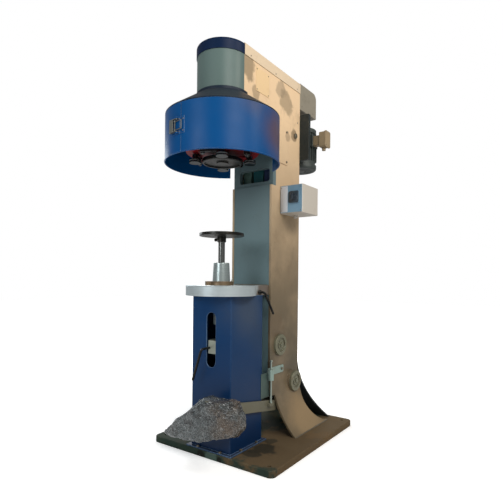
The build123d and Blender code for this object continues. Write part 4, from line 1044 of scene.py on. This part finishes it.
class SeamingGear(Assembly):
    """Spindle, carrier, cam, levers, rolls and chuck."""

    pin_circle: float = 0.150
    carrier_underside: float = 1.462
    finishes = {
        "spindle_bearings": SHAFT_CHROME,
        "head_spindle": CAM_STEEL,
        "chuck_shaft": CAM_STEEL,
        "chuck": CHUCK_STEEL,
        "roll_carrier": CARRIER_RED,
        "cam_disc": CAM_STEEL,
        **{f"roll_lever_{number}": LEVER_IRON for number in range(1, 5)},
        **{f"seam_roll_{number}": ROLL_STEEL for number in range(1, 5)},
    }

    def pieces(self) -> None:
        """A nut and washer over each lever's pin, under the carrier."""
        for number in range(4):
            turn = math.radians(90 * number)
            mesh = bmesh.new()
            x, y = self.pin_circle * math.cos(turn), self.pin_circle * math.sin(turn)
            place = towards((x, y, self.carrier_underside), (0, 0, -1))
            turned(mesh, [(0.012, 0.0), (0.012, 0.0015), (0.0095, 0.0016)], place)
            turned(mesh, [(0.0105, 0.0016), (0.0105, 0.0070), (0.0092, 0.0085), (0.0055, 0.0085),
                          (0.0052, 0.0120), (0.0, 0.0124)], place, 6)
            body = f"lever_{number + 1}"
            new_piece(f"lever_nut_{number + 1}", mesh, ROLL_STEEL, body, False)


class Drive(Assembly):
    """Motor, pulleys, belt and their covers."""

    finishes = {
        "driven_pulley": CAST_IRON,
        "v_belt": BELT_RUBBER,
        "motor_pulley": CAM_STEEL,
        "motor_plate": MOTOR_PLATE_DARK,
        "motor_body": MOTOR_IRON,
        "fan_cover": MOTOR_IRON,
        "terminal_box": BOX_TAN,
        "belt_guard": GUARD_TAN,
    }

    def pieces(self) -> None:
        """The belt's tension stud with its nuts, and screws in the covers."""
        mesh = bmesh.new()
        rod(mesh, [Vector(self.on_stud(y)) for y in (0.571, 0.585, 0.600, 0.622)], 0.0042)
        for y in (0.572, 0.582):
            turned(mesh, [(0.0, 0.0), (0.0075, 0.0), (0.0085, 0.001), (0.0085, 0.006), (0.0075, 0.007),
                          (0.0, 0.007)], towards(self.on_stud(y), (0, 1, 0)), 6)
        new_piece("tension_stud", mesh, ROD_STEEL, "frame", False)
        heads = [(0.0034, towards((0.249, y, z), (1, 0, 0)), y * 30)
                 for z in (1.661, 1.737) for y in (0.657, 0.703)]
        heads += [(0.0034, towards((side * 0.130, y, 1.884), (side, 0, 0)), y * 20)
                  for side in (-1, 1) for y in (0.575, 0.715)]
        screws("cover_screws", heads)

    def on_stud(self, y: float) -> Point:
        """A point on the middle line of the tension stud, which slopes down to the rear."""
        return 0.1255, y, 1.765 - (y - 0.57) * 0.1


class LiftingTable(Assembly):
    """Pedestal, table, lifting shaft and can plate."""

    finishes = {
        "pedestal": PEDESTAL_BLUE,
        "table_plate": TABLE_STEEL,
        "lifter_sleeve": SLEEVE_STEEL,
        "lock_ring": RING_STEEL,
        "lifter_shaft": LIFT_STEEL,
        "lifter_disc": DISC_STEEL,
        "lift_collar": COLLAR_STEEL,
        "collar_handle": BLACK_OXIDE,
        "table_handle": BLACK_OXIDE,
        "lift_rocker": LINK_DARK,
        "pull_link": LINK_DARK,
    }

    def pieces(self) -> None:
        """The oil nipple on the lock ring."""
        mesh = bmesh.new()
        place = towards((0.052, 0.018, 0.853), (0.25, 0, 1))
        turned(mesh, [(0.0, -0.001), (0.0052, -0.001), (0.0052, 0.005), (0.0045, 0.006)], place, 6)
        turned(mesh, [(0.0034, 0.006), (0.0026, 0.008), (0.0026, 0.011), (0.0034, 0.0128), (0.0028, 0.015),
                      (0.0, 0.0158)], place, 16)
        new_piece("oil_nipple", mesh, ZINC, "frame")


class Treadle(Assembly):
    """Treadle bar with its guide rod, and the film bag over the foot plate."""

    outline: Sequence[tuple[float, float]] = (
        (-0.203, 0.100), (-0.10, 0.096), (0.0, 0.106), (0.070, 0.118), (0.138, 0.142), (0.225, 0.168),
        (0.260, 0.222), (0.246, 0.280), (0.228, 0.326), (0.205, 0.330), (0.130, 0.322), (0.052, 0.324),
        (0.008, 0.288), (-0.050, 0.246), (-0.107, 0.202), (-0.160, 0.160), (-0.200, 0.124),
    )
    front: float = -0.216
    rear: float = -0.100
    middle: Vector = Vector((0.04, 0.0, 0.20))
    seed: Vector = Vector((3.1, 7.4, 1.9))
    steps: int = 190
    layers: int = 46
    finishes = {
        "pedal_lever": BAR_GREY,
        "return_rod": ROD_STEEL,
        "rod_guide": GUIDE_STEEL,
    }

    def around(self, share: float) -> tuple[float, float]:
        """X and Z of a point on the bag's smoothed outline, at a share of the way round."""
        count = len(self.outline)
        spot = share * count
        index = int(spot) % count
        part = spot - int(spot)
        corners = [self.outline[(index + step) % count] for step in (-1, 0, 1, 2)]
        made = []
        for axis in (0, 1):
            a, b, c, d = (corner[axis] for corner in corners)
            made.append(0.5 * (2 * b + (c - a) * part + (2 * a - 5 * b + 4 * c - d) * part ** 2
                               + (3 * b - a - 3 * c + d) * part ** 3))
        return made[0], made[1]

    def crumple(self, point: Vector) -> float:
        """How far the film stands in or out at a point, in metres."""
        place = point + self.seed
        bend = Vector((noise.noise(place * 9), noise.noise(place * 9 + Vector((5, 1, 2))), 0)) * 0.02
        height = noise.noise(place * 14) * 0.007 - 0.0075
        for scale, depth in ((17, 0.010), (42, 0.0045)):
            near = noise.voronoi((place + bend) * scale)[0]
            height += (near[1] - near[0]) * depth
        return height

    def pieces(self) -> None:
        """The bag, lofted between its front and rear and then crumpled."""
        mesh = bmesh.new()
        rings = []
        for layer in range(self.layers + 1):
            share = layer / self.layers
            lean = abs(share * 2 - 1)
            shrink = max((1 - lean ** 5) ** 0.28, 0.04)
            centre = self.middle + Vector((0, self.front + (self.rear - self.front) * share, 0))
            ring = []
            for step in range(self.steps):
                x, z = self.around(step / self.steps)
                ring.append(mesh.verts.new(centre + (Vector((x, 0, z)) - self.middle) * shrink))
            rings.append(ring)
        bridge(mesh, rings, capped=True)
        bmesh.ops.recalc_face_normals(mesh, faces=mesh.faces)
        mesh.normal_update()
        moves = [(vert, vert.normal * self.crumple(vert.co)) for vert in mesh.verts]
        for vert, move in moves:
            vert.co += move
        made = new_piece("film_bag", mesh, BAG_FILM, "pedal")
        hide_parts("pedal_wrap")


class Starter(Assembly):
    """Motor starter on the column's side."""

    front: float = 0.339
    strip_sheet: float = 0.0012
    finishes = {
        "switch_box": STARTER_WHITE,
        "switch_panel": PANEL_BLUE,
        "switch_knob": KNOB_BLACK,
    }

    def slab(self, mesh: BMesh, low: Point, high: Point, corner: float) -> None:
        """Adds a thin slab with round corners that lies on the panel.

        Args:
            mesh: Where it goes.
            low: Its lowest corner.
            high: Its highest corner.
            corner: Radius of its corners.
        """
        points = []
        for quarter, (right, top) in enumerate(((1, 1), (-1, 1), (-1, -1), (1, -1))):
            middle_x = (high if right > 0 else low)[0] - right * corner
            middle_z = (high if top > 0 else low)[2] - top * corner
            for step in range(7):
                turn = math.radians(90 * quarter + 15 * step)
                points.append((middle_x + corner * math.cos(turn), middle_z + corner * math.sin(turn)))
        middle = ((low[0] + high[0]) / 2, (low[2] + high[2]) / 2)
        rings = []
        for y, shrink in ((high[1], 1.0), (low[1] + 0.0008, 1.0), (low[1], 0.985)):
            ring = []
            for x, z in points:
                spot = (middle[0] + (x - middle[0]) * shrink, y, middle[1] + (z - middle[1]) * shrink)
                ring.append(mesh.verts.new(Vector(spot)))
            rings.append(ring)
        bridge(mesh, rings, capped=True)

    def pieces(self) -> None:
        """White strip, dark bezel face and screws of the panel."""
        strip = bmesh.new()
        self.slab(strip, (0.134, self.front - self.strip_sheet, 1.228), (0.178, self.front, 1.368), 0.004)
        new_piece("starter_strip", strip, STRIP_WHITE, "frame")
        bezel = bmesh.new()
        self.slab(bezel, (0.1855, 0.3318, 1.2745), (0.2485, 0.3330, 1.3375), 0.009)
        new_piece("bezel_face", bezel, BEZEL_BLACK, "frame")
        screws("starter_screws", [
            (0.0028, towards((x, self.front - lift, z), (0, -1, 0)), x * 80)
            for x, lift in ((0.139, self.strip_sheet), (0.257, 0.0)) for z in (1.236, 1.360)])


@dataclass(frozen=True)
class Lamp:
    """A soft lamp."""

    name: str
    place: Point
    aim: Point
    size: float
    power: float
    tint: Colour = (1.0, 1.0, 1.0)

    def hang(self) -> None:
        """Adds the lamp to the scene."""
        data = bpy.data.lights.new(self.name, "AREA")
        data.shape = "DISK"
        data.size = self.size
        data.energy = self.power
        data.color = self.tint
        made = bpy.data.objects.new(self.name, data)
        bpy.context.collection.objects.link(made)
        made.matrix_world = towards(self.place, tuple(Vector(self.place) - Vector(self.aim)))


@dataclass
class Studio:
    """Floor, backdrop, lamps and camera."""

    azimuth: float = 35.30
    roll: float = 0.56
    eye: Point = (1.3751, -1.6819, 0.870)
    lens: float = 31.075
    shift: float = 0.05596
    sky_light: float = 0.26
    floor_reach: float = 14.0
    lamps: Sequence[Lamp] = (
        Lamp("key", (2.9, -1.5, 3.1), (0.0, 0.1, 1.4), 2.2, 88.0, (1.0, 0.96, 0.90)),
        Lamp("side", (2.6, 0.6, 2.9), (0.1, 0.4, 1.7), 1.0, 26.0, (1.0, 0.93, 0.84)),
        Lamp("front", (-0.3, -3.4, 2.0), (0.0, 0.0, 1.1), 1.6, 42.0, (0.94, 0.98, 1.0)),
        Lamp("rim", (-2.7, 0.4, 1.8), (0.0, 0.0, 1.4), 0.8, 22.0, (0.92, 0.98, 1.0)),
        Lamp("back", (-2.2, 2.8, 2.6), (0.0, 0.3, 1.1), 2.0, 50.0),
    )

    def camera(self) -> None:
        """Sets the camera up as in the photograph."""
        turn = math.radians(self.azimuth)
        lean = math.radians(self.roll)
        ahead = Vector((-math.sin(turn), math.cos(turn), 0))
        right = Vector((math.cos(turn), math.sin(turn), 0))
        up = Vector((0, 0, 1))
        across = right * math.cos(lean) + up * math.sin(lean)
        upright = up * math.cos(lean) - right * math.sin(lean)
        data = bpy.data.cameras.new("photograph")
        data.sensor_fit = "HORIZONTAL"
        data.sensor_width = 36.0
        data.lens = self.lens
        data.shift_y = self.shift
        data.clip_end = 60.0
        made = bpy.data.objects.new("photograph", data)
        bpy.context.collection.objects.link(made)
        rows = [[across[axis], upright[axis], -ahead[axis], self.eye[axis]] for axis in range(3)]
        made.matrix_world = Matrix(rows + [[0, 0, 0, 1]])
        bpy.context.scene.camera = made

    def floor(self) -> None:
        """Lays a pale floor that the camera sees as white where no shadow falls."""
        data = bpy.data.meshes.new("floor")
        reach = self.floor_reach
        rim = [(-reach, -reach, 0), (reach, -reach, 0), (reach, reach, 0), (-reach, reach, 0)]
        data.from_pydata(rim, [], [(0, 1, 2, 3)])
        made = bpy.data.objects.new("floor", data)
        bpy.context.collection.objects.link(made)
        shader = Shader("floor_white")
        seen = shader.node("LightPath", {}, {}, "Is Camera Ray")
        lift = seen * (0.40 + shader.far_from((0.0, 0.2, 0.0)).step(0.8, 3.2) * 1.2)
        shader.feed(
            Base_Color=(0.86, 0.86, 0.86),
            Roughness=0.8,
            Specular_IOR_Level=0.1,
            Emission_Strength=1.0,
            Emission_Color=shader.mix((0.0, 0.0, 0.0), (1.0, 1.0, 1.0), lift),
        )
        data.materials.append(shader.material)

    def sky(self) -> None:
        """A plain surround, white to the eye and dim as a light."""
        world = bpy.data.worlds.new("surround")
        world.use_nodes = True
        graph = Graph(world.node_tree)
        direct = graph.node("LightPath", {}, {}, "Is Camera Ray")
        through = graph.node("LightPath", {}, {}, "Is Transmission Ray")
        seen = graph.node("Math", {"operation": "MAXIMUM"}, {0: direct, 1: through})
        strength = graph.node("MapRange", {}, {0: seen, 3: self.sky_light, 4: 1.0})
        light = graph.node("Background", {}, {"Color": (1.0, 1.0, 1.0), "Strength": strength})
        output = graph.tree.nodes.new("ShaderNodeOutputWorld")
        graph.put(output.inputs["Surface"], light)
        bpy.context.scene.world = world

    def build(self) -> None:
        """Sets the studio up."""
        self.camera()
        self.floor()
        self.sky()
        for lamp in self.lamps:
            lamp.hang()
        bpy.context.scene.view_settings.view_transform = "Standard"


def corners(box: Sequence[Vector]) -> list[list[float]]:
    """A box's two corners as plain lists."""
    return [[round(float(part), 5) for part in corner] for corner in box]


def main() -> None:
    """Builds the scene in order."""
    logging.basicConfig(level=logging.INFO, format="%(name)s: %(message)s")
    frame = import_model()
    Studio().build()
    for kind in (Column, Head, SeamingGear, Drive, LiftingTable, Treadle, Starter):
        kind(frame).build()


if __name__ == "__main__":
    main()
